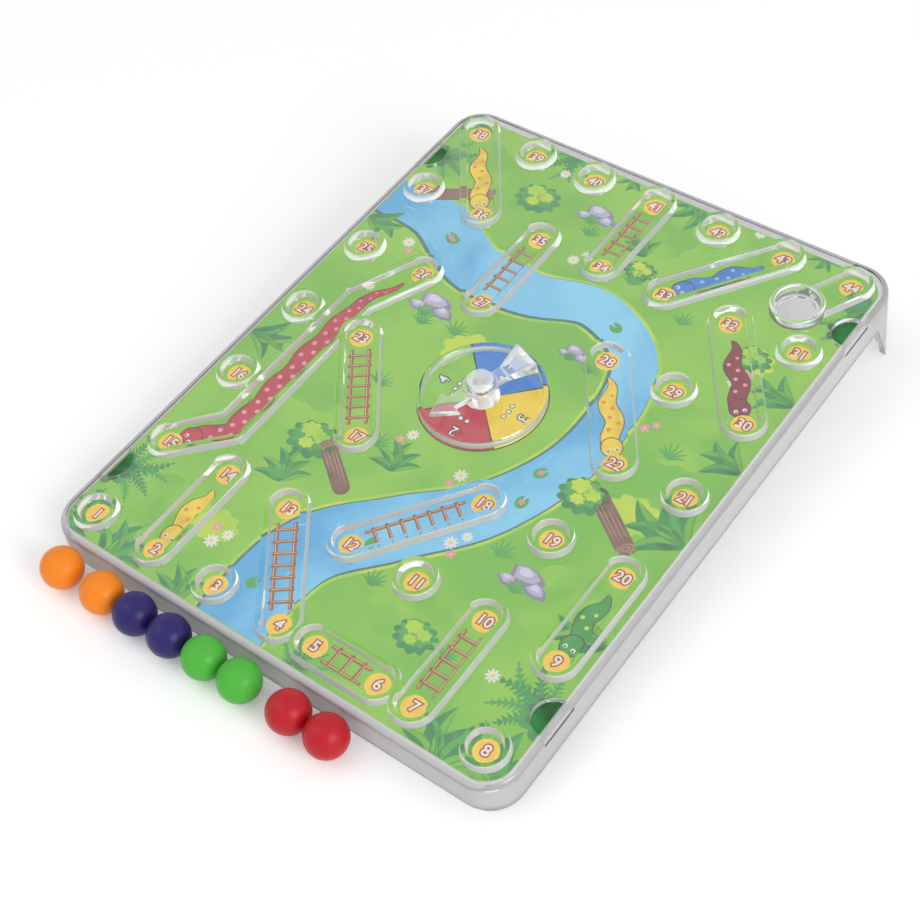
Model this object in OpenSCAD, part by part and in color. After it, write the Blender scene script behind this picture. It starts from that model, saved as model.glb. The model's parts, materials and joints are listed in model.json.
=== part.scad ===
// Travel snakes and ladders game: a clear moulded board on two rear legs, with walled wells and tracks on its
// top plate, a printed card held under the plate, a free-spinning arrow over the dial and eight loose balls.
// Sizes are in millimetres. X runs along the short edge, Y away from the player, Z up from the table.
// The board is drawn flat, with the top face of its plate at Z = 0, and then stood on its legs.

/* [Board] */
// Width of the board, along its short edge
board_w = 130; // [118:1:170]
// Length of the board, along its long edge
board_l = 168; // [150:1:220]
// Corner radius of the board in plan
corner_r = 8.5; // [6:0.5:10]
// Radius of the rounded rim where the plate turns down into the skirt
rim_r = 1.7; // [0.8:0.1:2.5]
// Thickness of the top plate
plate_t = 1.4; // [1:0.1:2.4]
// Thickness of the skirt and of the legs
skirt_t = 1.6; // [1.2:0.1:2.4]
// Height of the skirt, from the top face of the plate
skirt_h = 9; // [7:0.5:14]

/* [Legs] */
// Drop of the two back legs below the skirt
leg_drop = 14; // [8:1:24]
// Width of a leg along the long edge, at the skirt
leg_root_side = 11; // [9:0.5:16]
// Width of a leg along the long edge, at the foot
leg_tip_side = 6; // [4:0.5:8.5]
// Width of a leg along the back edge, at the skirt
leg_root_back = 14; // [11:0.5:20]
// Width of a leg along the back edge, at the foot
leg_tip_back = 9.5; // [8:0.5:10.5]
// Material taken off the lower edges so that the board stands flat
stand_flat = 0.15; // [0.1:0.05:0.3]

/* [Wells and tracks] */
// Distance from the long edges to the outer columns
side_margin = 8.9; // [8.5:0.1:12]
// Distance from the short edges to the end rows
end_margin = 8.7; // [8.5:0.1:12]
// Outer diameter of a well, and outer width of a track
well_od = 11.2; // [10:0.1:12]
// Thickness of the raised walls
well_t = 1.65; // [1:0.05:2]
// Height of the raised walls above the plate
well_h = 1.95; // [1.5:0.05:4]
// Swell of a track round its bends
bend_swell = 0.05; // [0.03:0.01:0.2]
// Outer diameter of the finish cup
cup_od = 13.5; // [12:0.1:15]
// Thickness of the finish cup wall
cup_t = 1.35; // [1:0.05:2]
// Height of the finish cup above the plate
cup_h = 2.55; // [1.5:0.05:4]
// Overlap of the longest snake track with the wells it runs beside
snake_merge = 0.54; // [0.2:0.02:1]
// Overlap of the front ladder track with the track on its left
left_merge = 0.9; // [0.4:0.1:1.6]
// Overlap of the front ladder track with the track on its right
right_merge = 1.5; // [0.4:0.1:1.6]
// Gap left where one raised wall runs up against another
wall_gap = 0.04; // [0.02:0.01:0.1]

/* [Dial and spinner] */
// Outer diameter of the dial ring
dial_od = 31.6; // [28:0.2:38]
// Thickness of the dial ring
dial_t = 1.4; // [1:0.1:2]
// Height of the dial ring above the plate
dial_h = 2; // [1:0.1:2.6]
// Diameter of the pin shank
shank_d = 3.2; // [2.4:0.1:4]
// Radial clearance between the shank and the arrow hub
hub_clear = 0.08; // [0.03:0.01:0.1]
// Radial clearance between the shank and the plate
plate_clear = 0.02; // [0.01:0.01:0.1]
// Diameter of the pin head
head_d = 6.5; // [5.5:0.1:7.5]
// Height of the pin head
head_h = 1.6; // [1.2:0.1:2.4]
// Rise of the dome on the pin head
head_dome = 0.6; // [0.3:0.05:0.9]
// Diameter of the snap barb under the plate
barb_d = 4.4; // [4.3:0.1:5]
// Height of the snap barb
barb_h = 1.8; // [1:0.1:3]
// Height of the straight edge of the snap barb
barb_catch = 0.5; // [0.3:0.1:0.8]
// Taper of the tip of the snap barb, inside the shank
barb_lead = 0.4; // [0.2:0.1:0.8]
// Outer diameter of the arrow hub
hub_d = 8.6; // [8:0.1:11]
// Height of the arrow hub
hub_h = 4.7; // [4.3:0.1:7]
// Play of the hub below it on the plate and above it under the pin head
hub_play = 0.2; // [0.1:0.05:0.4]
// Height of the underside of the pointer above the plate
blade_z = 3.1; // [2.8:0.1:3.4]
// Thickness of the pointer
blade_t = 1.2; // [0.8:0.1:1.4]
// Width of the arrow arm
arm_w = 4; // [3:0.1:5]
// Distance from the axis to the base of the arrow head
head_start = 8.4; // [7:0.1:9.5]
// Distance from the axis to the point of the arrow
point_reach = 14.5; // [12:0.1:18]
// Width of the arrow head at its base
head_base_w = 7.9; // [6:0.1:10]
// Distance from the axis to the end of the tail
tail_reach = 13.3; // [11:0.1:17]
// Width of the finger grip at the end of the tail
grip_w = 8.5; // [6:0.1:10]
// Rise of the finger grip above the pointer, at the end of the tail
grip_rise = 2.2; // [1:0.1:4]
// Direction of the arrow, turned from the right-hand side
arrow_turn = -111; // [-180:1:180]

/* [Printed card] */
// Thickness of the card
card_t = 0.5; // [0.3:0.1:1]
// Clearance from the card to the inside of the skirt
card_gap = 0.4; // [0.2:0.05:0.8]
// Diameter of the hole under the spinner pin
card_pin_hole = 6; // [5.6:0.1:8]
// Distance from the middle of the board to the card lugs and the holes above them
lug_y = 62; // [50:1:64]
// Length of a lug along the long edge
lug_l = 5; // [3:0.5:8]
// Reach of a lug inwards from the skirt
lug_reach = 1.4; // [1.2:0.1:2.5]
// Height of a lug
lug_h = 1.5; // [1:0.1:2.5]
// Radius of the half-round holes in the plate above the lugs
lug_hole_r = 4.7; // [3:0.1:5]

/* [Balls] */
// Diameter of a ball
ball_d = 10.2; // [9:0.1:10.8]
// Space between neighbouring balls
ball_gap = 0.3; // [0.1:0.1:1]
// Extra space after the first ball
first_space = 2.3; // [0:0.1:4]
// Extra space after the sixth ball
sixth_space = 3.5; // [0:0.1:6]
// Distance of the first ball from the left-hand edge of the board
first_ball = 10.8; // [6:0.1:30]
// Space between the row of balls and the front of the board
ball_stand_off = 0.6; // [0.5:0.1:10]

/* [Hidden] */
$fn = 64;

// Grid of squares: seven columns and seven rows, counted from the front left corner
col_pitch = (board_w - 2 * side_margin) / 6;
row_pitch = (board_l - 2 * end_margin) / 6;
dial_at = [3, 3];
cup_at = [5.614, 5.468];

// The board as it stands
tilt = atan2(leg_drop, board_l - leg_tip_side);
lift = board_l / 2 * sin(tilt) + skirt_h * cos(tilt) - stand_flat;
back_y = board_l / 2 * cos(tilt) + (lift + board_l / 2 * sin(tilt)) * tan(tilt);
ball_y = -board_l / 2 * cos(tilt) - ball_stand_off - ball_d / 2;
middle_y = (back_y + ball_y - ball_d / 2) / 2;

// Heights over the top face of the plate
hub_z = hub_play;
head_z = hub_z + hub_h + hub_play;
lug_z = -plate_t - card_t;

// Squares with a well of their own: number, column, row, and the tracks the well gives way to
wells = [
    ["01", 0, 0, []],
    ["03", 2, 0, []],
    ["08", 6, 0, []],
    ["11", 4, 1, []],
    ["16", 0, 2, ["snake_track_26_15"]],
    ["19", 5, 2, []],
    ["21", 6, 3, []],
    ["24", 0, 3, ["snake_track_26_15"]],
    ["25", 0, 4, []],
    ["29", 5, 4, []],
    ["31", 6, 5, []],
    ["37", 0, 5, []],
    ["39", 1, 6, []],
    ["40", 2, 6, []],
    ["42", 4, 6, []]
];

// Tracks that lie against other walls stand off sideways from the column of those walls
snake_side = well_od - snake_merge;
left_side = well_od - left_merge;
right_side = right_merge - well_od;

// Tracks: name, the points that the middle of the track runs through, and the walls it gives way to.
// A point is a column, a row and, where the track lies against another wall, its sideways stand-off.
tracks = [
    ["snake_track_38_36", [[0, 6], [1, 5]], []],
    ["snake_track_26_15", [[1, 4], [0, 3.35, snake_side], [0, 1.436, snake_side], [0, 1]],
        ["ladder_track_17_23"]],
    ["snake_track_14_02", [[1, 1], [1, 0]], []],
    ["snake_track_43_33", [[5, 6], [4, 5]], []],
    ["snake_track_32_30", [[5, 5], [6, 4]], []],
    ["snake_track_28_22", [[4, 4], [5, 3]], []],
    ["snake_track_20_09", [[6, 2], [6, 1]], []],
    ["ladder_track_04_13", [[3, 0], [2, 1]], []],
    ["ladder_track_05_06", [[3, 0, left_side], [5, 0, right_side]],
        ["ladder_track_04_13", "ladder_track_07_10"]],
    ["ladder_track_07_10", [[5, 0], [5, 1]], []],
    ["ladder_track_12_18", [[3, 1], [4, 2]], []],
    ["ladder_track_17_23", [[2, 2], [1, 3]], []],
    ["ladder_track_27_35", [[2, 4], [2, 5]], []],
    ["ladder_track_34_41", [[3, 5], [3, 6]], []],
    ["finish_track", [[6, 6], cup_at], ["finish_cup"]]
];

// Balls from left to right: name, colour and the extra spaces to its left
balls = [
    ["ball_orange_1", "orange", 0],
    ["ball_orange_2", "orange", first_space],
    ["ball_blue_1", "midnightblue", first_space],
    ["ball_blue_2", "midnightblue", first_space],
    ["ball_green_1", "limegreen", first_space],
    ["ball_green_2", "limegreen", first_space],
    ["ball_red_1", "crimson", first_space + sixth_space],
    ["ball_red_2", "crimson", first_space + sixth_space]
];

function grid(p) = [(p[0] - 3) * col_pitch + (len(p) > 2 ? p[2] : 0), (p[1] - 3) * row_pitch];
function track_path(name) = [for (t = tracks) if (t[0] == name) for (p = t[1]) grid(p)];

// Stands what is drawn on the flat board up on the legs
module on_legs() {
    translate([0, -middle_y, lift]) rotate([tilt, 0, 0]) children();
}

// Slab with rounded corners in plan, its top at Z = 0
module slab(w, l, r, h) {
    translate([-w / 2, -l / 2 + r, -h]) cube([w, l - 2 * r, h]);
    translate([-w / 2 + r, -l / 2, -h]) cube([w - 2 * r, l, h]);
    for (x = [-1, 1], y = [-1, 1])
        translate([x * (w / 2 - r), y * (l / 2 - r), -h]) cylinder(r = r, h = h);
}

// Cross-section of the slab with the rim rounded along both edges
module rim_section(w, h) {
    translate([-w / 2, -h]) square([w, h - rim_r]);
    translate([-w / 2 + rim_r, -h]) square([w - 2 * rim_r, h]);
    for (s = [-1, 1])
        translate([s * (w / 2 - rim_r), -rim_r]) circle(rim_r);
}

// Half cross-section of a corner of the slab
module corner_section(h) {
    translate([0, -h]) square([corner_r, h - rim_r]);
    translate([0, -h]) square([corner_r - rim_r, h]);
    translate([corner_r - rim_r, -rim_r]) circle(rim_r);
}

// Outside of the board: a slab with a rounded rim all round
module rimmed_slab(h) {
    translate([0, board_l / 2 - corner_r, 0]) rotate([90, 0, 0])
        linear_extrude(board_l - 2 * corner_r) rim_section(board_w, h);
    translate([-board_w / 2 + corner_r, 0, 0]) rotate([90, 0, 90])
        linear_extrude(board_w - 2 * corner_r) rim_section(board_l, h);
    for (x = [-1, 1], y = [-1, 1])
        translate([x * (board_w / 2 - corner_r), y * (board_l / 2 - corner_r), 0])
            rotate_extrude() corner_section(h);
}

// Space inside the skirt
module skirt_space(h) {
    slab(board_w - 2 * skirt_t, board_l - 2 * skirt_t, corner_r - skirt_t, h);
}

// The back corners of the skirt, carried down as two tapering legs that run past the floor
module legs() {
    root_z = -skirt_h;
    tip_z = -skirt_h - leg_drop;
    top_z = root_z + skirt_t;
    deep_z = tip_z - 2 * skirt_t;
    side_y = board_l / 2;
    back_x = board_w / 2;
    intersection() {
        difference() {
            translate([0, 0, top_z]) slab(board_w, board_l, corner_r, top_z - deep_z);
            translate([0, 0, top_z + skirt_t]) skirt_space(top_z - deep_z + 2 * skirt_t);
        }
        translate([-board_w, 0, 0]) rotate([90, 0, 90]) linear_extrude(2 * board_w)
            polygon([
                [side_y - leg_root_side, top_z + skirt_t],
                [side_y - leg_root_side, root_z],
                [side_y - leg_tip_side, tip_z],
                [side_y - leg_tip_side, deep_z - skirt_t],
                [side_y + skirt_t, deep_z - skirt_t],
                [side_y + skirt_t, top_z + skirt_t]
            ]);
        for (s = [0, 1]) mirror([s, 0, 0])
            translate([0, board_l, 0]) rotate([90, 0, 0]) linear_extrude(2 * board_l)
                polygon([
                    [back_x - leg_root_back, top_z + skirt_t],
                    [back_x - leg_root_back, root_z],
                    [back_x - leg_tip_back, tip_z],
                    [back_x - leg_tip_back, deep_z - skirt_t],
                    [back_x + skirt_t, deep_z - skirt_t],
                    [back_x + skirt_t, top_z + skirt_t]
                ]);
    }
}

// Lugs on the long sides of the skirt that carry the card
module lugs() {
    reach = lug_reach + skirt_t / 2;
    for (x = [0, 1], y = [-1, 1])
        mirror([x, 0, 0])
            translate([board_w / 2 - skirt_t - lug_reach, y * lug_y - lug_l / 2, lug_z - lug_h])
                cube([reach, lug_l, lug_h]);
}

// Half-round holes beside the long edges, above the lugs
module lug_holes() {
    intersection() {
        for (x = [-1, 1], y = [-1, 1])
            translate([x * (board_w / 2 - skirt_t), y * lug_y, -plate_t - 1])
                cylinder(r = lug_hole_r, h = plate_t + 2);
        translate([-board_w / 2 + skirt_t, -board_l / 2, -plate_t - 1])
            cube([board_w - 2 * skirt_t, board_l, plate_t + 2]);
    }
}

module clear_board() {
    color([0.84, 0.86, 0.9, 0.35])
        difference() {
            on_legs() {
                difference() {
                    union() {
                        difference() {
                            rimmed_slab(skirt_h);
                            translate([0, 0, -plate_t]) skirt_space(skirt_h);
                        }
                        legs();
                        lugs();
                    }
                    lug_holes();
                    translate([0, 0, -plate_t - 1]) cylinder(d = shank_d + 2 * plate_clear, h = plate_t + 2);
                }
            }
            translate([-board_w, -board_l, -skirt_h]) cube([2 * board_w, 2 * board_l, skirt_h]);
        }
}

// Plan of a band of one width along a path, with round ends and slightly swollen bends
module band(path, width) {
    last = len(path) - 1;
    if (last == 0) translate(path[0]) circle(d = width);
    for (i = [1 : 1 : last]) {
        run = path[i] - path[i - 1];
        translate(path[i - 1]) rotate(atan2(run[1], run[0])) {
            translate([0, -width / 2]) square([norm(run), width]);
            circle(d = i == 1 ? width : width + 2 * bend_swell);
            if (i == last) translate([norm(run), 0]) circle(d = width);
        }
    }
}

// Raised wall round a path; children are the plans of the walls it gives way to
module raised_wall(path, width, thick, height) {
    color([0.84, 0.86, 0.9, 0.35])
        on_legs() difference() {
            linear_extrude(height) band(path, width);
            translate([0, 0, -1]) linear_extrude(height + 2) band(path, width - 2 * thick);
            translate([0, 0, -1]) linear_extrude(height + 2) children();
        }
}

module well(w) {
    raised_wall([grid([w[1], w[2]])], well_od, well_t, well_h)
        for (other = w[3]) band(track_path(other), well_od + 2 * wall_gap);
}

module track(t) {
    raised_wall(track_path(t[0]), well_od, well_t, well_h)
        for (other = t[2]) {
            if (other == "finish_cup") band([grid(cup_at)], cup_od + 2 * wall_gap);
            else band(track_path(other), well_od + 2 * wall_gap);
        }
}

module finish_cup() {
    raised_wall([grid(cup_at)], cup_od, cup_t, cup_h);
}

module dial_ring() {
    raised_wall([grid(dial_at)], dial_od, dial_t, dial_h);
}

module printed_card() {
    card_w = board_w - 2 * skirt_t - 2 * card_gap;
    card_l = board_l - 2 * skirt_t - 2 * card_gap;
    color("palegreen")
        on_legs() translate([0, 0, -plate_t]) difference() {
            slab(card_w, card_l, corner_r - skirt_t - card_gap, card_t);
            translate([0, 0, -card_t - 1]) cylinder(d = card_pin_hole, h = card_t + 2);
            translate(concat(grid(cup_at), -card_t - 1)) cylinder(d = cup_od - 2 * cup_t, h = card_t + 2);
        }
}

module spinner_pin() {
    dome_r = (pow(head_d / 2, 2) + pow(head_dome, 2)) / (2 * head_dome);
    color([0.8, 0.82, 0.86, 0.5])
        on_legs() {
            rotate_extrude()
                polygon([
                    [0, -plate_t - barb_h],
                    [shank_d / 2 - barb_lead, -plate_t - barb_h],
                    [barb_d / 2, -plate_t - barb_catch],
                    [barb_d / 2, -plate_t],
                    [shank_d / 2, -plate_t],
                    [shank_d / 2, head_z + head_h / 2],
                    [0, head_z + head_h / 2]
                ]);
            intersection() {
                translate([0, 0, head_z]) cylinder(d = head_d, h = head_h);
                translate([0, 0, head_z + head_h - dome_r]) sphere(dome_r);
            }
        }
}

module spinner_arrow() {
    blade_top = blade_z + blade_t;
    color([0.8, 0.82, 0.86, 0.5])
        on_legs() rotate(arrow_turn) difference() {
            union() {
                translate([0, 0, hub_z]) cylinder(d = hub_d, h = hub_h);
                translate([0, 0, blade_z]) linear_extrude(blade_t) {
                    translate([-hub_d / 2 - 3, -arm_w / 2]) square([hub_d / 2 + 3 + head_start + 1, arm_w]);
                    polygon([
                        [head_start, -head_base_w / 2],
                        [point_reach, 0],
                        [head_start, head_base_w / 2]
                    ]);
                    polygon([
                        [-hub_d / 2 - 2, -arm_w / 2],
                        [-tail_reach, -grip_w / 2],
                        [-tail_reach, grip_w / 2],
                        [-hub_d / 2 - 2, arm_w / 2]
                    ]);
                }
                intersection() {
                    translate([0, 0, blade_z]) linear_extrude(blade_t + grip_rise)
                        polygon([
                            [-hub_d / 2 - 2, -arm_w / 2],
                            [-tail_reach, -grip_w / 2],
                            [-tail_reach, grip_w / 2],
                            [-hub_d / 2 - 2, arm_w / 2]
                        ]);
                    translate([0, grip_w, 0]) rotate([90, 0, 0]) linear_extrude(2 * grip_w)
                        polygon([
                            [-hub_d / 2 - 2, blade_z],
                            [-hub_d / 2 - 2, blade_top],
                            [-tail_reach, blade_top + grip_rise],
                            [-tail_reach, blade_z]
                        ]);
                }
            }
            cylinder(d = shank_d + 2 * hub_clear, h = hub_z + hub_h + 1);
        }
}

module ball(b) {
    i = search([b[0]], balls)[0];
    ball_x = first_ball - board_w / 2 + i * (ball_d + ball_gap) + b[2];
    color(b[1])
        translate([ball_x, ball_y - middle_y, ball_d / 2]) sphere(d = ball_d);
}

clear_board();
printed_card();
dial_ring();
finish_cup();
spinner_pin();
spinner_arrow();
for (w = wells)
    well(w);
for (t = tracks)
    track(t);
for (b = balls)
    ball(b);
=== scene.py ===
"""Travel snakes and ladders game: a clear moulding over a printed card, with a spinner and eight balls.

Plans are drawn in millimetres on the flat board, with the top face of its plate at zero, and then stood on the legs.
"""
import json
import math

import bmesh
import bpy
from mathutils import Matrix, Vector


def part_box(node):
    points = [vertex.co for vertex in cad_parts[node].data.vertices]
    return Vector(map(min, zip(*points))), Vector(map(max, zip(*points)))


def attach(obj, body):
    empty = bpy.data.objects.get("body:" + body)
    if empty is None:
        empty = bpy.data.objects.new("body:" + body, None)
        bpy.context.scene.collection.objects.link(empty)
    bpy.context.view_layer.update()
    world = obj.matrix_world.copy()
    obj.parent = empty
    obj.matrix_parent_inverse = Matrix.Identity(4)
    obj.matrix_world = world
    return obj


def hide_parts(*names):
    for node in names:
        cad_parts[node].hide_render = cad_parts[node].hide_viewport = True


bl_info = {
    "name": "Travel Snakes and Ladders",
    "version": (1, 0, 0),
    "blender": (4, 5, 0),
    "location": "3D View > Sidebar > Travel Game",
    "description": "Builds the clear board, its printed card, the spinner and the balls",
    "category": "Add Mesh",
}

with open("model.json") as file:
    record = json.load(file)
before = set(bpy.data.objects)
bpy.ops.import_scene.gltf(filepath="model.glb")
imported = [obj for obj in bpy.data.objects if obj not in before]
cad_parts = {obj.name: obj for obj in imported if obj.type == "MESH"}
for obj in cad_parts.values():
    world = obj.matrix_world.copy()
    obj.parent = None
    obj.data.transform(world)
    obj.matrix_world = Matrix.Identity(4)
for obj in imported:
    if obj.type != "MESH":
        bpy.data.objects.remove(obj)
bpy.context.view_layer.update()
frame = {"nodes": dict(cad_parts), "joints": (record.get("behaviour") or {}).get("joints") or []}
MM = 0.001
spin_joint = next(joint for joint in frame["joints"] if joint["name"] == "arrow_spin")
tilt = math.atan2(-spin_joint["axis"][1], spin_joint["axis"][2])
STAND = Matrix.Translation(spin_joint["pos_m"]) @ Matrix.Rotation(tilt, 4, "X")

WELLS = {
    1: (0, 0), 3: (2, 0), 8: (6, 0), 11: (4, 1), 16: (0, 2), 19: (5, 2), 21: (6, 3), 24: (0, 3),
    25: (0, 4), 29: (5, 4), 31: (6, 5), 37: (0, 5), 39: (1, 6), 40: (2, 6), 42: (4, 6),
}
SNAKES = {
    (38, 36): ((0, 6), (1, 5)), (26, 15): ((1, 4), (0.57, 3.35), (0.57, 1.436), (0, 1)),
    (14, 2): ((1, 1), (1, 0)), (43, 33): ((5, 6), (4, 5)), (32, 30): ((5, 5), (6, 4)),
    (28, 22): ((4, 4), (5, 3)), (20, 9): ((6, 2), (6, 1)),
}
LADDERS = {
    (4, 13): ((3, 0), (2, 1)), (5, 6): ((3.551, 0), (4.481, 0)), (7, 10): ((5, 0), (5, 1)),
    (12, 18): ((3, 1), (4, 2)), (17, 23): ((2, 2), (1, 3)), (27, 35): ((2, 4), (2, 5)),
    (34, 41): ((3, 5), (3, 6)),
}
FINISH = (44, (6, 6), (5.614, 5.468))


def length(label, words, default):
    return bpy.props.FloatProperty(name=label, description=words, default=default, unit="LENGTH", precision=5)


def paint(label, words, default):
    return bpy.props.FloatVectorProperty(
        name=label, description=words, default=default, subtype="COLOR", size=3, min=0, max=1)


class GameBoardSizes(bpy.types.PropertyGroup):
    """Sizes of the clear moulding and of the card under it"""
    width: length("Width", "Short edge of the board", 0.130)
    length: length("Length", "Long edge of the board", 0.168)
    corner: length("Corner", "Corner radius in plan", 0.0085)
    rim: length("Rim", "Radius of the rounded rim", 0.0017)
    plate: length("Plate", "Thickness of the top plate", 0.0014)
    skirt: length("Skirt", "Thickness of the skirt", 0.0016)
    skirt_height: length("Skirt height", "Height of the skirt from the top face", 0.009)
    leg_drop: length("Leg drop", "Drop of the back legs below the skirt", 0.014)
    leg_root_side: length("Leg root, side", "Leg width along the long edge at the skirt", 0.011)
    leg_tip_side: length("Leg tip, side", "Leg width along the long edge at the foot", 0.006)
    leg_root_back: length("Leg root, back", "Leg width along the back edge at the skirt", 0.014)
    leg_tip_back: length("Leg tip, back", "Leg width along the back edge at the foot", 0.0095)
    column: length("Columns", "Distance between columns", 0.0187)
    row: length("Rows", "Distance between rows", 0.0251)
    well: length("Well", "Outer diameter of a well or track", 0.0112)
    well_wall: length("Well wall", "Thickness of the raised walls, at the plate", 0.0020)
    well_height: length("Well height", "Height of the raised walls", 0.00195)
    well_taper: length("Well taper", "Lean of each side of the raised walls", 0.0005)
    well_lip: length("Well lip", "Rounding of the tops of the raised walls", 0.0002)
    cup: length("Cup", "Outer diameter of the finish cup", 0.0135)
    cup_wall: length("Cup wall", "Thickness of the cup wall", 0.00135)
    cup_height: length("Cup height", "Height of the cup wall", 0.00255)
    cup_step: length("Cup step", "Diameter of the sunk floor of the cup", 0.009)
    cup_step_depth: length("Cup step depth", "Depth of the sunk floor of the cup", 0.0005)
    dial: length("Dial", "Outer diameter of the dial ring", 0.0316)
    dial_wall: length("Dial wall", "Thickness of the dial ring", 0.0014)
    dial_height: length("Dial height", "Height of the dial ring", 0.002)
    lip: length("Lip", "Rounding of the tops of the cup and the dial ring", 0.00055)
    lug_place: length("Lug place", "Lugs from the middle of the board", 0.062)
    lug_hole: length("Lug hole", "Radius of the half-round holes above the lugs", 0.0047)
    slot: length("Slot", "Length of the slot in the skirt beside a lug", 0.0105)
    slot_height: length("Slot height", "Height of the slot beside a lug", 0.0009)
    slot_depth: length("Slot depth", "Depth of the slot beside a lug", 0.0014)
    slot_drop: length("Slot drop", "Top face to the middle of the slot", 0.0022)
    draft: bpy.props.FloatProperty(
        name="Draft", description="Outward lean of the skirt and legs, per unit of height", default=0.04)
    card: length("Card", "Thickness of the card", 0.0005)
    card_gap: length("Card gap", "Card to the inside of the skirt", 0.0004)
    card_gap_back: length("Card gap, back", "Card to the inside of the skirt at the back", 0.0016)


class GameSpinnerSizes(bpy.types.PropertyGroup):
    """Sizes of the arrow and its pin, with heights over the plate"""
    hub: length("Hub", "Diameter of the hub", 0.0086)
    hub_low: length("Hub foot", "Underside of the hub", 0.0002)
    hub_top: length("Hub top", "Top of the hub", 0.0049)
    blade_low: length("Blade underside", "Underside of the pointer", 0.0031)
    blade: length("Blade", "Thickness of the pointer", 0.0012)
    arm: length("Arm", "Width of the arm", 0.004)
    head_start: length("Head start", "Axis to the base of the arrow head", 0.0084)
    point: length("Point", "Axis to the point", 0.0145)
    head_width: length("Head width", "Width of the arrow head", 0.0079)
    tail: length("Tail", "Axis to the end of the tail", 0.0133)
    grip_width: length("Grip width", "Width of the finger grip", 0.0085)
    grip_rise: length("Grip rise", "Rise of the grip over the pointer", 0.0022)
    shank: length("Shank", "Diameter of the pin", 0.0032)
    cap: length("Cap", "Diameter of the pin head", 0.0065)
    cap_low: length("Cap underside", "Underside of the pin head", 0.0051)
    cap_top: length("Cap top", "Top of the pin head", 0.0067)
    turn: bpy.props.FloatProperty(
        name="Turn", description="Direction of the arrow", default=math.radians(-111), subtype="ANGLE")


class GameColours(bpy.types.PropertyGroup):
    """Inks of the card and colours of the plastics"""
    meadow: paint("Meadow", "Ground of the card", (0.285, 0.60, 0.045))
    meadow_deep: paint("Deep meadow", "Darker ground", (0.17, 0.50, 0.03))
    lawn: paint("Lawn", "Yellowish clumps", (0.56, 0.72, 0.03))
    leaf: paint("Leaf", "Dark leaves", (0.025, 0.22, 0.05))
    # Painted shade: a dark green printed under the half-round lug holes, where the plate's edge shades the card
    leaf_shade: paint("Leaf shade", "Dark green painted into the lug holes as shade", (0.012, 0.085, 0.02))
    leaf_pale: paint("Pale leaf", "Lit leaves", (0.08, 0.43, 0.06))
    water: paint("Water", "Stream", (0.085, 0.42, 0.74))
    bank: paint("Bank", "Edge of the stream", (0.04, 0.20, 0.17))
    ripple: paint("Ripple", "Lines on the water", (0.25, 0.66, 0.89))
    bark: paint("Bark", "Logs", (0.17, 0.085, 0.06))
    bark_pale: paint("Cut wood", "Ends of the logs", (0.42, 0.25, 0.13))
    stone: paint("Stone", "Stones", (0.50, 0.48, 0.60))
    stone_deep: paint("Deep stone", "Shaded side of the stones", (0.27, 0.25, 0.36))
    petal: paint("Petal", "Daisy petals", (0.86, 0.86, 0.80))
    disc: paint("Disc", "Number discs", (0.95, 0.55, 0.055))
    numeral: paint("Numeral", "Numerals", (0.92, 0.86, 0.74))
    numeral_edge: paint("Numeral edge", "Line round the numerals", (0.40, 0.045, 0.03))
    ladder: paint("Ladder", "Rails and rungs", (0.30, 0.09, 0.015))
    ladder_pale: paint("Ladder light", "Light line on the ladders", (0.85, 0.68, 0.46))
    outline: paint("Outline", "Line round the snakes", (0.06, 0.025, 0.02))
    orange: paint("Orange", "Orange ink", (0.86, 0.26, 0.02))
    forest: paint("Forest", "Green snake", (0.035, 0.34, 0.045))
    black: paint("Black", "Lines", (0.02, 0.02, 0.02))
    white: paint("White", "Paper white", (0.86, 0.86, 0.84))
    red: paint("Red", "Red ink", (0.58, 0.03, 0.055))
    pink: paint("Pink", "Pink ink", (0.83, 0.33, 0.42))
    yellow: paint("Yellow", "Yellow ink", (0.97, 0.68, 0.03))
    blue: paint("Blue", "Blue ink", (0.04, 0.22, 0.66))
    green: paint("Green", "Green ink", (0.26, 0.60, 0.05))
    clear: paint("Clear plastic", "Tint of the moulding", (0.98, 0.983, 0.99))
    frosted: paint("Frosted skirt", "Tint of the textured skirt", (0.61, 0.598, 0.603))
    # Painted light: the upward rim faces get a lighter tint than the skirt of the same plastic, standing in for light
    # falling on the top; the rim's haze is its finish
    rim: paint("Rim", "Lighter tint of the rounded rim, painted light", (0.79, 0.78, 0.787))
    # Painted shade: the grey tint darkens the view through the cup floor as if the table below lay in shadow
    floor: paint("Cup floor painted shade", "Grey tint of the floor of the finish cup, painted shade", (0.64, 0.64, 0.648))
    # Painted shade: the dark tint makes the insides of the slots beside the lugs look shadowed; the slot's haze is its
    # finish
    slot: paint("Slot", "Dark tint inside the slots beside the lugs, painted shade", (0.22, 0.20, 0.22))
    ball_orange: paint("Orange ball", "First pair of balls", (0.95, 0.262, 0.012))
    ball_blue: paint("Blue ball", "Second pair of balls", (0.024, 0.016, 0.135))
    ball_green: paint("Green ball", "Third pair of balls", (0.082, 0.475, 0.05))
    ball_red: paint("Red ball", "Fourth pair of balls", (0.52, 0.012, 0.022))


# Plans, in millimetres


def sizes():
    return bpy.context.scene.game_board


def at(col, row):
    """Place of a grid point on the flat board"""
    board = sizes()
    return Vector(((col - 3) * board.column, (row - 3) * board.row)) / MM


def ellipse(middle, rx, ry, turn=0.0, steps=24):
    spin = Matrix.Rotation(turn, 2)
    rim = []
    for i in range(steps):
        a = math.tau * i / steps
        rim.append(Vector(middle) + spin @ Vector((rx * math.cos(a), ry * math.sin(a))))
    return rim


def circle(middle, radius, steps=32):
    return ellipse(middle, radius, radius, 0.0, steps)


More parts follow.
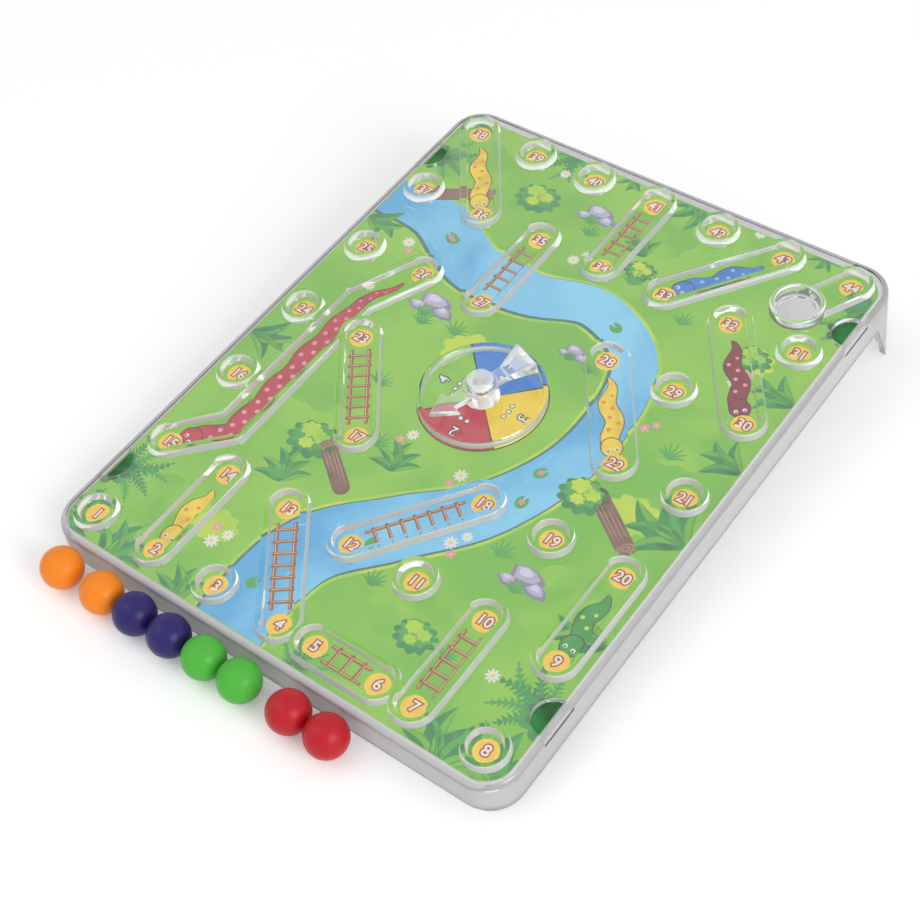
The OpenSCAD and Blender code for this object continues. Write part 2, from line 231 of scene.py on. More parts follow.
def band(path, radius, steps=20):
    """Outline of a band of one width along a path, with round ends and bends"""
    if len(path) == 1:
        return circle(path[0], radius, 2 * steps)
    loop = list(path) + list(path[-2:0:-1])
    rim = []
    for i, here in enumerate(loop):
        before = (here - loop[i - 1]).normalized()
        after = (loop[(i + 1) % len(loop)] - here).normalized()
        start = Vector((before.y, -before.x))
        end = Vector((after.y, -after.x))
        bend = math.atan2(before.x * after.y - before.y * after.x, before.dot(after))
        if before.dot(after) < -0.999:
            bend = math.pi
        if bend < -0.001:
            rim.append(here + (start + end) * radius / (1 + start.dot(end)))
            continue
        count = max(1, round(steps * bend / math.pi))
        for k in range(count + 1):
            rim.append(here + Matrix.Rotation(bend * k / count, 2) @ start * radius)
    return rim


def smooth_line(points, steps=8):
    """Points on a smooth curve through the given points"""
    line = []
    ends = [points[0] * 2 - points[1]] + list(points) + [points[-1] * 2 - points[-2]]
    for a, b, c, d in zip(ends, ends[1:], ends[2:], ends[3:]):
        for k in range(steps):
            t = k / steps
            bow = (2 * a - 5 * b + 4 * c - d) * t * t + (3 * b - a - 3 * c + d) * t ** 3
            line.append((2 * b + (c - a) * t + bow) / 2)
    line.append(points[-1])
    return line


def ribbon(line, half_width, left_share=1.0):
    """Outline of a line drawn with a brush whose half width is a function of the way along it"""
    left, right = [], []
    for i, here in enumerate(line):
        along = (line[min(i + 1, len(line) - 1)] - line[max(i - 1, 0)]).normalized()
        reach = Vector((-along.y, along.x)) * half_width(i / (len(line) - 1))
        left.append(here + reach * left_share)
        right.append(here - reach)
    return right + left[::-1]


def bowed_line(base, tip, bow, steps=10):
    """Points from base to tip along a shallow bow"""
    across = Vector((base.y - tip.y, tip.x - base.x)).normalized()
    return [base.lerp(tip, k / steps) + across * bow * math.sin(math.pi * k / steps) for k in range(steps + 1)]


def leaf(base, tip, width, bow=0.0, left_share=1.0):
    """Outline of a pointed leaf, or of the right half of one"""
    taper = lambda t: 0.04 + width * math.sin(math.pi * min(1, t ** 0.8)) ** 0.8
    return ribbon(bowed_line(base, tip, bow), taper, left_share)


def frond(base, tip, width, bow=0.0, pairs=11):
    """Outline of a fern frond with leaflets on both sides"""
    rib = bowed_line(base, tip, bow, 2 * pairs)
    left, right = [], []
    for k in range(1, 2 * pairs):
        along = (rib[k + 1] - rib[k - 1]).normalized()
        across = Vector((-along.y, along.x))
        t = k / (2 * pairs)
        reach = width * (1 - t) ** 0.75 * min(1, 0.35 + 3 * t) if k % 2 else 0.12
        ahead = along * 0.55 * (reach if k % 2 else 0)
        left.append(rib[k] + across * reach + ahead)
        right.append(rib[k] - across * reach + ahead)
    return [base] + right + [tip] + left[::-1]


def clump(middle, radius, lobes, depth, turn=0.0):
    """Outline of a round bush with lobes"""
    rim = []
    for i in range(lobes * 8):
        a = math.tau * i / (lobes * 8)
        r = radius * (1 - depth + depth * abs(math.sin(lobes * a / 2)))
        rim.append(Vector(middle) + Vector((math.cos(a + turn), 0.8 * math.sin(a + turn))) * r)
    return rim


# Modelling


def clear_selection():
    if bpy.context.object and bpy.context.object.mode != "OBJECT":
        bpy.ops.object.mode_set(mode="OBJECT")
    bpy.ops.object.select_all(action="DESELECT")


def take(obj):
    """Makes one object the only selected and active one"""
    clear_selection()
    obj.select_set(True)
    bpy.context.view_layer.objects.active = obj
    return obj


def choose(obj, edges=None, faces=None):
    """In edit mode, selects the edges or faces that a test picks"""
    bpy.ops.mesh.select_all(action="DESELECT")
    bpy.ops.mesh.select_mode(type="FACE" if faces else "EDGE")
    mesh = bmesh.from_edit_mesh(obj.data)
    for item in (mesh.faces if faces else mesh.edges):
        if (faces or edges)(item):
            item.select_set(True)
    mesh.select_flush_mode()
    bmesh.update_edit_mesh(obj.data)


def plan(name, outline, height=0.0):
    """A flat face with that outline, drawn from a filled circle"""
    clear_selection()
    bpy.ops.mesh.primitive_circle_add(vertices=len(outline), radius=MM, fill_type="NGON")
    obj = bpy.context.object
    obj.name = name
    for vertex, point in zip(obj.data.vertices, outline):
        vertex.co = (point.x * MM, point.y * MM, height * MM)
    return obj


def raise_plan(obj, height):
    """Extrudes a flat piece upwards into a closed solid"""
    take(obj)
    bpy.ops.object.mode_set(mode="EDIT")
    bpy.ops.mesh.select_all(action="SELECT")
    bpy.ops.mesh.extrude_region_move(TRANSFORM_OT_translate={"value": (0, 0, height * MM)})
    bpy.ops.mesh.select_all(action="SELECT")
    bpy.ops.mesh.normals_make_consistent(inside=False)
    bpy.ops.object.mode_set(mode="OBJECT")
    return obj


def round_top(obj, height, radius, segments=3):
    """Rounds the upper edges of an upright solid"""
    take(obj)
    bpy.ops.object.mode_set(mode="EDIT")

    def top_edge(edge):
        if min(v.co.z for v in edge.verts) < height * MM - 1e-6 or len(edge.link_faces) != 2:
            return False
        return abs(edge.link_faces[0].normal.z - edge.link_faces[1].normal.z) > 0.5

    choose(obj, edges=top_edge)
    bpy.ops.mesh.bevel(offset=radius * MM, segments=segments, profile=0.5, affect="EDGES")
    bpy.ops.object.mode_set(mode="OBJECT")
    return obj


def combine(obj, tool, operation, overlapping=False):
    """Adds, cuts or meets two solids and deletes the tool"""
    take(obj)
    modifier = obj.modifiers.new(operation.title(), "BOOLEAN")
    modifier.operation = operation
    modifier.solver = "EXACT"
    modifier.use_self = overlapping
    modifier.object = tool
    bpy.ops.object.modifier_apply(modifier=modifier.name)
    bpy.data.objects.remove(tool, do_unlink=True)
    return obj


def join(name, pieces):
    take(pieces[0])
    for piece in pieces:
        piece.select_set(True)
    bpy.ops.object.join()
    pieces[0].name = name
    return pieces[0]


def stand(obj):
    """Stands a piece that was drawn on the flat board up on the legs, with its place in its mesh"""
    take(obj)
    obj.matrix_world = STAND @ obj.matrix_world
    bpy.ops.object.transform_apply(location=True, rotation=True, scale=True)
    return obj


def finish_piece(obj, material, body, nodes=()):
    """Gives a piece its material, its body and the nodes that it stands for"""
    if material:
        obj.data.materials.clear()
        obj.data.materials.append(material)
    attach(obj, body)
    if nodes:
        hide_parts(*nodes)
    return obj


# Materials


def group_tree(name, inputs, outputs):
    tree = bpy.data.node_groups.new(name, "ShaderNodeTree")
    for label, kind, default in inputs:
        tree.interface.new_socket(label, in_out="INPUT", socket_type=kind).default_value = default
    for label, kind in outputs:
        tree.interface.new_socket(label, in_out="OUTPUT", socket_type=kind)
    return tree, tree.nodes.new("NodeGroupInput"), tree.nodes.new("NodeGroupOutput")


def printed_ink_group():
    """Ink on card: two tones that drift into each other, a fine print screen and paper fibre"""
    if "Printed Ink" in bpy.data.node_groups:
        return bpy.data.node_groups["Printed Ink"]
    tree, entry, result = group_tree(
        "Printed Ink",
        [("Ink", "NodeSocketColor", (1, 1, 1, 1)), ("Shade", "NodeSocketColor", (1, 1, 1, 1)),
         ("Drift", "NodeSocketFloat", 60.0)],
        [("Colour", "NodeSocketColor"), ("Roughness", "NodeSocketFloat"), ("Height", "NodeSocketFloat")])
    place = tree.nodes.new("ShaderNodeTexCoord")
    wash = tree.nodes.new("ShaderNodeTexNoise")
    wash.inputs["Detail"].default_value = 3
    wash.inputs["Distortion"].default_value = 0.6
    tone = tree.nodes.new("ShaderNodeMapRange")
    tone.inputs["From Min"].default_value = 0.38
    tone.inputs["From Max"].default_value = 0.66
    fibre = tree.nodes.new("ShaderNodeTexNoise")
    fibre.inputs["Scale"].default_value = 2600
    fibre.inputs["Detail"].default_value = 2
    blend = tree.nodes.new("ShaderNodeMix")
    blend.data_type = "RGBA"
    speckle = tree.nodes.new("ShaderNodeMix")
    speckle.data_type = "RGBA"
    speckle.blend_type = "OVERLAY"
    speckle.inputs["Factor"].default_value = 0.14
    rough = tree.nodes.new("ShaderNodeMapRange")
    rough.inputs["To Min"].default_value = 0.42
    rough.inputs["To Max"].default_value = 0.62
    links = tree.links
    links.new(place.outputs["Object"], wash.inputs["Vector"])
    links.new(place.outputs["Object"], fibre.inputs["Vector"])
    links.new(entry.outputs["Drift"], wash.inputs["Scale"])
    links.new(wash.outputs["Fac"], tone.inputs["Value"])
    links.new(tone.outputs["Result"], blend.inputs["Factor"])
    links.new(entry.outputs["Ink"], blend.inputs["A"])
    links.new(entry.outputs["Shade"], blend.inputs["B"])
    links.new(blend.outputs["Result"], speckle.inputs["A"])
    links.new(fibre.outputs["Color"], speckle.inputs["B"])
    links.new(fibre.outputs["Fac"], rough.inputs["Value"])
    links.new(speckle.outputs["Result"], result.inputs["Colour"])
    links.new(rough.outputs["Result"], result.inputs["Roughness"])
    links.new(fibre.outputs["Fac"], result.inputs["Height"])
    return tree


def new_material(name):
    material = bpy.data.materials.new(name)
    material.use_nodes = True
    return material, material.node_tree.nodes, material.node_tree.links


def ink(name, colour, shade=None, drift=60.0):
    """Printing ink of one colour on the card"""
    if name in bpy.data.materials:
        return bpy.data.materials[name]
    material, nodes, links = new_material(name)
    shader = nodes["Principled BSDF"]
    shader.inputs["IOR"].default_value = 1.45
    print_group = nodes.new("ShaderNodeGroup")
    print_group.node_tree = printed_ink_group()
    print_group.inputs["Ink"].default_value = (*colour, 1)
    print_group.inputs["Shade"].default_value = (*(shade or [0.86 * c for c in colour]), 1)
    print_group.inputs["Drift"].default_value = drift
    bump = nodes.new("ShaderNodeBump")
    bump.inputs["Strength"].default_value = 0.08
    bump.inputs["Distance"].default_value = 0.00002
    links.new(print_group.outputs["Colour"], shader.inputs["Base Color"])
    links.new(print_group.outputs["Roughness"], shader.inputs["Roughness"])
    links.new(print_group.outputs["Height"], bump.inputs["Height"])
    links.new(bump.outputs["Normal"], shader.inputs["Normal"])
    return material


def moulded_surface_group():
    """Moulded plastic: slow waves from the tool, a fine skin and faint rubbing"""
    if "Moulded Surface" in bpy.data.node_groups:
        return bpy.data.node_groups["Moulded Surface"]
    tree, entry, result = group_tree(
        "Moulded Surface",
        [("Smooth", "NodeSocketFloat", 0.03), ("Rubbed", "NodeSocketFloat", 0.1),
         ("Wave Scale", "NodeSocketFloat", 90.0)],
        [("Roughness", "NodeSocketFloat"), ("Height", "NodeSocketFloat")])
    place = tree.nodes.new("ShaderNodeTexCoord")
    wave = tree.nodes.new("ShaderNodeTexNoise")
    wave.inputs["Detail"].default_value = 1
    rub = tree.nodes.new("ShaderNodeTexNoise")
    rub.inputs["Scale"].default_value = 420
    rub.inputs["Detail"].default_value = 4
    patch = tree.nodes.new("ShaderNodeMapRange")
    patch.inputs["From Min"].default_value = 0.5
    patch.inputs["From Max"].default_value = 0.8
    links = tree.links
    links.new(place.outputs["Object"], wave.inputs["Vector"])
    links.new(place.outputs["Object"], rub.inputs["Vector"])
    links.new(entry.outputs["Wave Scale"], wave.inputs["Scale"])
    links.new(rub.outputs["Fac"], patch.inputs["Value"])
    links.new(entry.outputs["Smooth"], patch.inputs["To Min"])
    links.new(entry.outputs["Rubbed"], patch.inputs["To Max"])
    links.new(patch.outputs["Result"], result.inputs["Roughness"])
    links.new(wave.outputs["Fac"], result.inputs["Height"])
    return tree


def surface_nodes(nodes, links, shader, smooth, rubbed, wave, depth):
    skin = nodes.new("ShaderNodeGroup")
    skin.node_tree = moulded_surface_group()
    skin.inputs["Smooth"].default_value = smooth
    skin.inputs["Rubbed"].default_value = rubbed
    skin.inputs["Wave Scale"].default_value = wave
    bump = nodes.new("ShaderNodeBump")
    bump.inputs["Strength"].default_value = 0.25
    bump.inputs["Distance"].default_value = depth
    links.new(skin.outputs["Roughness"], shader.inputs["Roughness"])
    links.new(skin.outputs["Height"], bump.inputs["Height"])
    links.new(bump.outputs["Normal"], shader.inputs["Normal"])


def clear_plastic(name, tint, haze, smooth, rubbed, depth, skin_deep=False):
    """Clear polystyrene that lets light through to the card, with its haze right through or skin deep"""
    if name in bpy.data.materials:
        return bpy.data.materials[name]
    material, nodes, links = new_material(name)
    shader = nodes["Principled BSDF"]
    shader.inputs["Base Color"].default_value = (*tint, 1)
    shader.inputs["Transmission Weight"].default_value = 1 - haze
    shader.inputs["IOR"].default_value = 1.5
    surface_nodes(nodes, links, shader, smooth, rubbed, 110, depth)
    through = nodes.new("ShaderNodeBsdfTransparent")
    through.inputs["Color"].default_value = (*tint, 1)
    ray = nodes.new("ShaderNodeLightPath")
    lit = nodes.new("ShaderNodeMath")
    lit.operation = "MAXIMUM"
    mix = nodes.new("ShaderNodeMixShader")
    links.new(ray.outputs["Is Shadow Ray"], lit.inputs[0])
    links.new(ray.outputs["Is Diffuse Ray"], lit.inputs[1])
    links.new(lit.outputs["Value"], mix.inputs["Fac"])
    links.new(shader.outputs["BSDF"], mix.inputs[1])
    links.new(through.outputs["BSDF"], mix.inputs[2])
    if skin_deep:
        side = nodes.new("ShaderNodeNewGeometry")
        within = nodes.new("ShaderNodeBsdfGlass")
        within.inputs["Color"].default_value = (*tint, 1)
        within.inputs["Roughness"].default_value = smooth
        within.inputs["IOR"].default_value = 1.5
        either = nodes.new("ShaderNodeMixShader")
        links.new(side.outputs["Backfacing"], either.inputs["Fac"])
        links.new(shader.outputs["BSDF"], either.inputs[1])
        links.new(within.outputs["BSDF"], either.inputs[2])
        links.new(either.outputs["Shader"], mix.inputs[1])
    links.new(mix.outputs["Shader"], nodes["Material Output"].inputs["Surface"])
    return material


def ball_plastic(name, colour):
    """Solid coloured plastic with a satin skin"""
    material, nodes, links = new_material(name)
    shader = nodes["Principled BSDF"]
    shader.inputs["Base Color"].default_value = (*colour, 1)
    shader.inputs["IOR"].default_value = 1.48
    shader.inputs["Subsurface Weight"].default_value = 0.06
    shader.inputs["Subsurface Radius"].default_value = (0.001, 0.0006, 0.0004)
    shader.inputs["Specular IOR Level"].default_value = 0.28
    surface_nodes(nodes, links, shader, 0.34, 0.46, 1500, 0.00003)
    return material


# Pieces


class GAME_OT_clear_moulding(bpy.types.Operator):
    """Builds the clear board: plate, skirt, legs, lugs and all raised walls, as one moulding"""
    bl_idname = "travel_game.clear_moulding"
    bl_label = "Clear Moulding"

    def shell(self, board):
        """Plate and skirt, hollowed from below"""
        clear_selection()
        w, l, h = board.width, board.length, board.skirt_height
        bpy.ops.mesh.primitive_cube_add(size=1, location=(0, 0, -h / 2), scale=(w, l, h))
        shell = bpy.context.object
        bpy.ops.object.transform_apply(location=True, rotation=True, scale=True)
        bpy.ops.object.mode_set(mode="EDIT")
        choose(shell, edges=lambda e: abs(e.verts[0].co.z - e.verts[1].co.z) > h / 2)
        bpy.ops.mesh.bevel(offset=board.corner, segments=14, affect="EDGES")
        choose(shell, edges=lambda e: all(v.co.z > -1e-7 for v in e.verts))
        bpy.ops.mesh.bevel(offset=board.rim, segments=6, affect="EDGES")
        choose(shell, faces=lambda f: f.normal.z < -0.9)
        bpy.ops.mesh.inset(thickness=board.skirt)
        bpy.ops.mesh.extrude_region_move(TRANSFORM_OT_translate={"value": (0, 0, h - board.plate)})
        bpy.ops.mesh.select_all(action="SELECT")
        bpy.ops.mesh.normals_make_consistent(inside=False)
        bpy.ops.object.mode_set(mode="OBJECT")
        return shell

    def leg(self, board, side):
        """One back corner of the skirt, carried down past the floor"""
        clear_selection()
        w, l = board.width, board.length
        root = -board.skirt_height
        low = root - board.leg_drop - 2 * board.skirt
        high = root + board.skirt
        bpy.ops.mesh.primitive_cube_add(
            size=1, location=(0, 0, (low + high) / 2), scale=(w, l, high - low))
        leg = bpy.context.object
        bpy.ops.object.transform_apply(location=True, rotation=True, scale=True)
        bpy.ops.object.mode_set(mode="EDIT")
        choose(leg, edges=lambda e: abs(e.verts[0].co.z - e.verts[1].co.z) > board.leg_drop / 2)
        bpy.ops.mesh.bevel(offset=board.corner, segments=14, affect="EDGES")
        choose(leg, faces=lambda f: abs(f.normal.z) > 0.9)
        bpy.ops.mesh.inset(thickness=board.skirt)
        bpy.ops.mesh.bridge_edge_loops()
        slant = (board.leg_root_side - board.leg_tip_side) / board.leg_drop
        bpy.ops.mesh.select_all(action="SELECT")
        bpy.ops.mesh.bisect(
            plane_co=(0, l / 2 - board.leg_root_side, root), plane_no=(0, 1, slant),
            use_fill=True, clear_inner=True)
        slant = (board.leg_root_back - board.leg_tip_back) / board.leg_drop
        bpy.ops.mesh.select_all(action="SELECT")
        bpy.ops.mesh.bisect(
            plane_co=(side * (w / 2 - board.leg_root_back), 0, root), plane_no=(side, 0, slant),
            use_fill=True, clear_inner=True)
        bpy.ops.mesh.select_all(action="SELECT")
        bpy.ops.mesh.normals_make_consistent(inside=False)
        bpy.ops.object.mode_set(mode="OBJECT")
        return leg

    def block(self, place, size):
        clear_selection()
        bpy.ops.mesh.primitive_cube_add(size=1, location=place, scale=size)
        bpy.ops.object.transform_apply(location=True, rotation=True, scale=True)
        return bpy.context.object

    def wall(self, board, path, width, thick, height, lip, taper=0.0):
        """Raised wall round a path, thinner towards its rounded top, set a little into the plate"""
        sink = board.plate / MM / 2
        spread = taper * sink / height
        outside, inside = width / 2 + spread, width / 2 - thick - spread
        wall = plan("wall", band(path, outside), -sink)
        take(wall)
        bpy.ops.object.mode_set(mode="EDIT")
        bpy.ops.mesh.select_all(action="SELECT")
        bpy.ops.mesh.inset(thickness=(outside - inside) * MM)
        bpy.ops.mesh.delete(type="FACE")
        raise_plan(wall, sink + height)
        lean = spread + taper
        leaning = list(zip(band(path, outside), band(path, outside - lean)))
        leaning += zip(band(path, inside), band(path, inside + lean))
        for low, high in leaning:
            for vertex in wall.data.vertices:
                if vertex.co.z > 0 and (vertex.co.xy / MM - low).length < 0.05:
                    vertex.co.xy = high * MM
        return round_top(wall, height, lip)

    def finish(self, board, face):
        """Name of the finish of one face, on the flat board"""
        x, y, z = abs(face.center.x), abs(face.center.y), face.center.z
        upright = abs(face.normal.z) < 0.3
        above_card = z > -1.1 * board.plate
        from_cup = (face.center.xy / MM - at(*FINISH[2])).length * MM
        if above_card and abs(face.normal.z) > 0.999:
            sunk = -0.9 * board.plate < z < 0.5 * board.well_height
            # The sunk cup floor gets the grey tint of painted shade
            return "cup floor" if sunk and from_cup < board.cup / 2 - board.cup_wall else "level"
        if above_card and from_cup < board.cup / 2 + 0.00005:
            return "cup"
        if z > 0 and abs(face.normal.z) < 0.5:
            return "wall"
        if above_card and upright and x < board.width / 2 - board.skirt - 1e-5:
            return "wall" if y < board.length / 2 - board.skirt else "skirt"
        in_slot = 0.0001 < board.width / 2 - x < board.slot_depth + 0.0001
        # Faces inside the slots get the dark tint that paints their shade
        if in_slot and abs(y - board.lug_place) < 0.51 * board.slot and z > -1.6 * board.slot_drop:
            return "slot"
        if z < 0 and face.normal.xy.dot(face.center.xy) < 0:
            return "inside"
        # Upward faces of the rim get the lighter tint of painted light
        if z < 0 and above_card and face.normal.z > 0.3:
            return "rim"
        return "skirt" if z < -0.00002 else "level"

    def plastics(self, colours):
        """The finishes of the moulding by name: tint, haze, roughness, rubbed roughness and depth of the skin"""
        return {
            "level": clear_plastic("Clear Polystyrene", colours.clear, 0.01, 0.02, 0.07, 0.00008),
            "skirt": clear_plastic("Textured Polystyrene", colours.frosted, 0.52, 0.14, 0.24, 0.00002, True),
            "wall": clear_plastic("Drawn Polystyrene", colours.clear, 0.56, 0.04, 0.12, 0.00004, True),
            # The slot finish carries the dark tint of painted shade
            "slot": clear_plastic("Slot Painted Shade Polystyrene", colours.slot, 0.30, 0.2, 0.3, 0.00002),
            # The rim finish carries the lighter tint of painted light on the top
            "rim": clear_plastic("Rim Painted Light Polystyrene", colours.rim, 0.45, 0.12, 0.22, 0.00002, True),
            "cup": clear_plastic("Cup Polystyrene", colours.clear, 0.30, 0.04, 0.12, 0.00004, True),
            # The cup floor finish carries the grey tint of painted shade
            "cup floor": clear_plastic("Cup Floor Painted Shade Polystyrene", colours.floor, 0.12, 0.06, 0.15, 0.00004, True),
            "inside": clear_plastic("Inside Polystyrene", colours.clear, 0.25, 0.10, 0.20, 0.00002, True),
        }

    def execute(self, context):
        board, colours = context.scene.game_board, context.scene.game_colours
        width, thick, high = board.well / MM, board.well_wall / MM, board.well_height / MM
        routes = {pair: [at(*p) for p in path] for pair, path in {**SNAKES, **LADDERS}.items()}
        cup = [at(*FINISH[2])]
        lip, taper, cup_lip = board.well_lip / MM, board.well_taper / MM, board.lip / MM
        overlap = lip + taper + 0.03
        gives_way = {
            16: [(26, 15)], 24: [(26, 15)], (26, 15): [(17, 23)], (5, 6): [(4, 13), (7, 10)],
        }
        walls = []
        for square, place in {**WELLS, **routes}.items():
            path = [at(*place)] if isinstance(square, int) else place
            wall = self.wall(board, path, width, thick, high, lip, taper)
            for other in gives_way.get(square, []):
                block = raise_plan(plan("block", band(routes[other], width / 2 - overlap), -2), 8)
                combine(wall, block, "DIFFERENCE")
            walls.append(wall)
        finish = self.wall(board, [at(*FINISH[1]), cup[0]], width, thick, high, lip, taper)
        cup_block = raise_plan(plan("block", band(cup, board.cup / MM / 2 - cup_lip - 0.03), -2), 8)
        walls.append(combine(finish, cup_block, "DIFFERENCE"))
        walls.append(self.wall(
            board, cup, board.cup / MM, board.cup_wall / MM, board.cup_height / MM, cup_lip))
        walls.append(self.wall(
            board, [at(3, 3)], board.dial / MM, board.dial_wall / MM, board.dial_height / MM, cup_lip))
        moulding = self.shell(board)
        for side in (-1, 1):
            combine(moulding, self.leg(board, side), "UNION")
        inside = board.width / 2 - board.skirt
        for x in (-1, 1):
            for y in (-1, 1):
                place = Vector((x * inside, y * board.lug_place, 0))
                lug = self.block(place + Vector((-x * 0.0003, 0, -0.00265)), (0.0022, 0.005, 0.0015))
                combine(moulding, lug, "UNION")
                hole = circle(place.xy / MM, board.lug_hole / MM)
                hole = [Vector((x * min(x * p.x, inside / MM), p.y)) for p in hole]
                combine(moulding, raise_plan(plan("hole", hole, -1.75), 3), "DIFFERENCE")
                slot = self.block((x * board.width / 2, place.y, -board.slot_drop),
                                  (2 * board.slot_depth, board.slot, board.slot_height))
                combine(moulding, slot, "DIFFERENCE")
        bore = raise_plan(plan("bore", circle((0, 0), 1.62), -3), 6)
        combine(moulding, bore, "DIFFERENCE")
        combine(moulding, join("walls", walls), "UNION", overlapping=True)
        step = circle(cup[0], board.cup_step / MM / 2, 48)
        combine(moulding, raise_plan(plan("step", step, -board.cup_step_depth / MM), 2), "DIFFERENCE")
        for vertex in moulding.data.vertices:
            lean = max(0, -vertex.co.z - board.rim) * board.draft
            vertex.co.x += math.copysign(lean, vertex.co.x)
            vertex.co.y += math.copysign(lean, vertex.co.y)
        moulding.name = "clear_moulding"
        plastics = self.plastics(colours)
        order = list(plastics)
        finishes = [order.index(self.finish(board, face)) for face in moulding.data.polygons]
        moulding.data.polygons.foreach_set("material_index", finishes)
        stand(moulding)
        bpy.ops.object.mode_set(mode="EDIT")
        bpy.ops.mesh.select_all(action="SELECT")
        bpy.ops.mesh.bisect(plane_co=(0, 0, 0), plane_no=(0, 0, 1), use_fill=True, clear_inner=True)
        bpy.ops.object.mode_set(mode="OBJECT")
        bpy.ops.object.shade_smooth_by_angle(angle=math.radians(32))
        nodes = [n for n in frame["nodes"] if n.startswith(("well_", "snake_", "ladder_", "finish_"))]
        finish_piece(moulding, None, "board", ["clear_board", "dial_ring"] + nodes)
        for plastic in plastics.values():
            moulding.data.materials.append(plastic)
        return {"FINISHED"}


class GAME_OT_card(bpy.types.Operator):
    """Builds the card under the plate, with its two holes"""
    bl_idname = "travel_game.card"
    bl_label = "Card"

    def execute(self, context):
        board, colours = context.scene.game_board, context.scene.game_colours
        inset = board.skirt + board.card_gap
        half_w = (board.width / 2 - inset) / MM
        half_l = (board.length / 2 - inset) / MM
        short = board.card_gap_back / MM - board.card_gap / MM
        radius = (board.corner - inset) / MM
        outline = []
        for i, (x, y) in enumerate(((1, 1), (-1, 1), (-1, -1), (1, -1))):
            for k in range(9):
                a = math.pi / 2 * (i + k / 8)
                corner = Vector((x * (half_w - radius), y * (half_l - radius) - (short if y > 0 else 0)))
                outline.append(corner + Vector((math.cos(a), math.sin(a))) * radius)
        top = -board.plate / MM - 0.03
        card = raise_plan(plan("card", outline, top - board.card / MM + 0.03), board.card / MM - 0.03)
        for middle, radius in ((at(*FINISH[2]), board.cup / 2 / MM - 0.7), ((0, 0), 3)):
            hole = raise_plan(plan("hole", circle(middle, radius, 48), -4), 6)
            combine(card, hole, "DIFFERENCE")
        card.name = "printed_card_sheet"
        stand(card)
        finish_piece(card, ink("Card Stock", colours.white), "board", ["printed_card"])
        card.data.materials.append(ink("Meadow Ink", colours.meadow, colours.meadow_deep, 38.0))
        up = STAND.to_3x3() @ Vector((0, 0, 1))
        for face in card.data.polygons:
            face.material_index = 1 if face.normal.dot(up) > 0.9 else 0
        return {"FINISHED"}


class PrintSheet:
    """Flat shapes in several inks, printed over each other on the card"""

    def __init__(self, name):
        self.name = name
        self.inks = []
        self.shapes = []
        self.texts = []

    def index(self, material):
        if material not in self.inks:
            self.inks.append(material)
        return self.inks.index(material)

    def add(self, outline, material, layer):
        turn = sum(a.x * b.y - b.x * a.y for a, b in zip(outline, outline[1:] + outline[:1]))
        self.shapes.append((outline if turn > 0 else outline[::-1], self.index(material), layer))

    def write(self, words, middle, height, material, layer, turn=0.0, swell=0.0):
        self.texts.append((words, Vector(middle), height, self.index(material), layer, turn, swell))

    def level(self, layer):
        return (-sizes().plate / MM - 0.028 + 0.0008 * layer) * MM

    def draw(self):
        """Makes the sheet: each shape from a filled circle, each word from text, all in one piece"""
        clear_selection()
        outline, slot, layer = self.shapes[0]
        sheet = plan(self.name, outline, self.level(layer) / MM)
        sheet.data.polygons[0].material_index = slot
        bpy.ops.object.mode_set(mode="EDIT")
        for outline, slot, layer in self.shapes[1:]:
            bpy.ops.mesh.select_all(action="DESELECT")
            bpy.ops.mesh.primitive_circle_add(vertices=len(outline), radius=MM, fill_type="NGON")
            mesh = bmesh.from_edit_mesh(sheet.data)
            face = next(face for face in mesh.faces if face.select)
            for vertex, point in zip(face.verts, outline):
                vertex.co = (point.x * MM, point.y * MM, self.level(layer))
            face.material_index = slot
            face.normal_update()
            bmesh.update_edit_mesh(sheet.data)
        bpy.ops.object.mode_set(mode="OBJECT")
        for material in self.inks:
            sheet.data.materials.append(material)
        words = [self.draw_text(*text) for text in self.texts]
        for word in words:
            for material in self.inks:
                word.data.materials.append(material)
        if words:
            join(self.name, [sheet] + words)
        self.trim(sheet)
        stand(sheet)
        finish_piece(sheet, None, "board")
        return sheet

    def trim(self, sheet):
        """Cuts the sheet off just inside the edges and corners of the card"""
        board = sizes()
        inset = board.skirt + board.card_gap + 0.00025
        edge = Vector((board.width / 2 - inset, board.length / 2 - inset, 0))
        short = board.card_gap_back - board.card_gap
        slack = (board.corner - inset) * (1 - math.sqrt(0.5))
        take(sheet)
        bpy.ops.object.mode_set(mode="EDIT")
        for x, y in ((1, 0), (-1, 0), (0, 1), (0, -1), (1, 1), (-1, 1), (1, -1), (-1, -1)):
            trim = slack if x and y else 0
            bpy.ops.mesh.select_all(action="SELECT")
            bpy.ops.mesh.bisect(
                plane_co=(x * (edge.x - trim), y * (edge.y - trim) - (short if y > 0 else 0), 0),
                plane_no=(x, y, 0), clear_outer=True)
        bpy.ops.object.mode_set(mode="OBJECT")

    def draw_text(self, words, middle, height, slot, layer, turn, swell):
        clear_selection()
        bpy.ops.object.text_add(location=(0, 0, 0))
        text = bpy.context.object
        text.data.body = words
        text.data.size = height * MM * 1.4
        text.data.align_x = "CENTER"
        text.data.align_y = "CENTER"
        text.data.offset = swell * MM
        text.data.resolution_u = 3
        bpy.ops.object.convert(target="MESH")
        text = bpy.context.object
        text.rotation_euler = (0, 0, turn)
        text.location = (middle.x * MM, middle.y * MM, self.level(layer))
        bpy.ops.object.transform_apply(location=True, rotation=True, scale=True)
        text.data.materials.clear()
        for face in text.data.polygons:
            face.material_index = slot
        return text


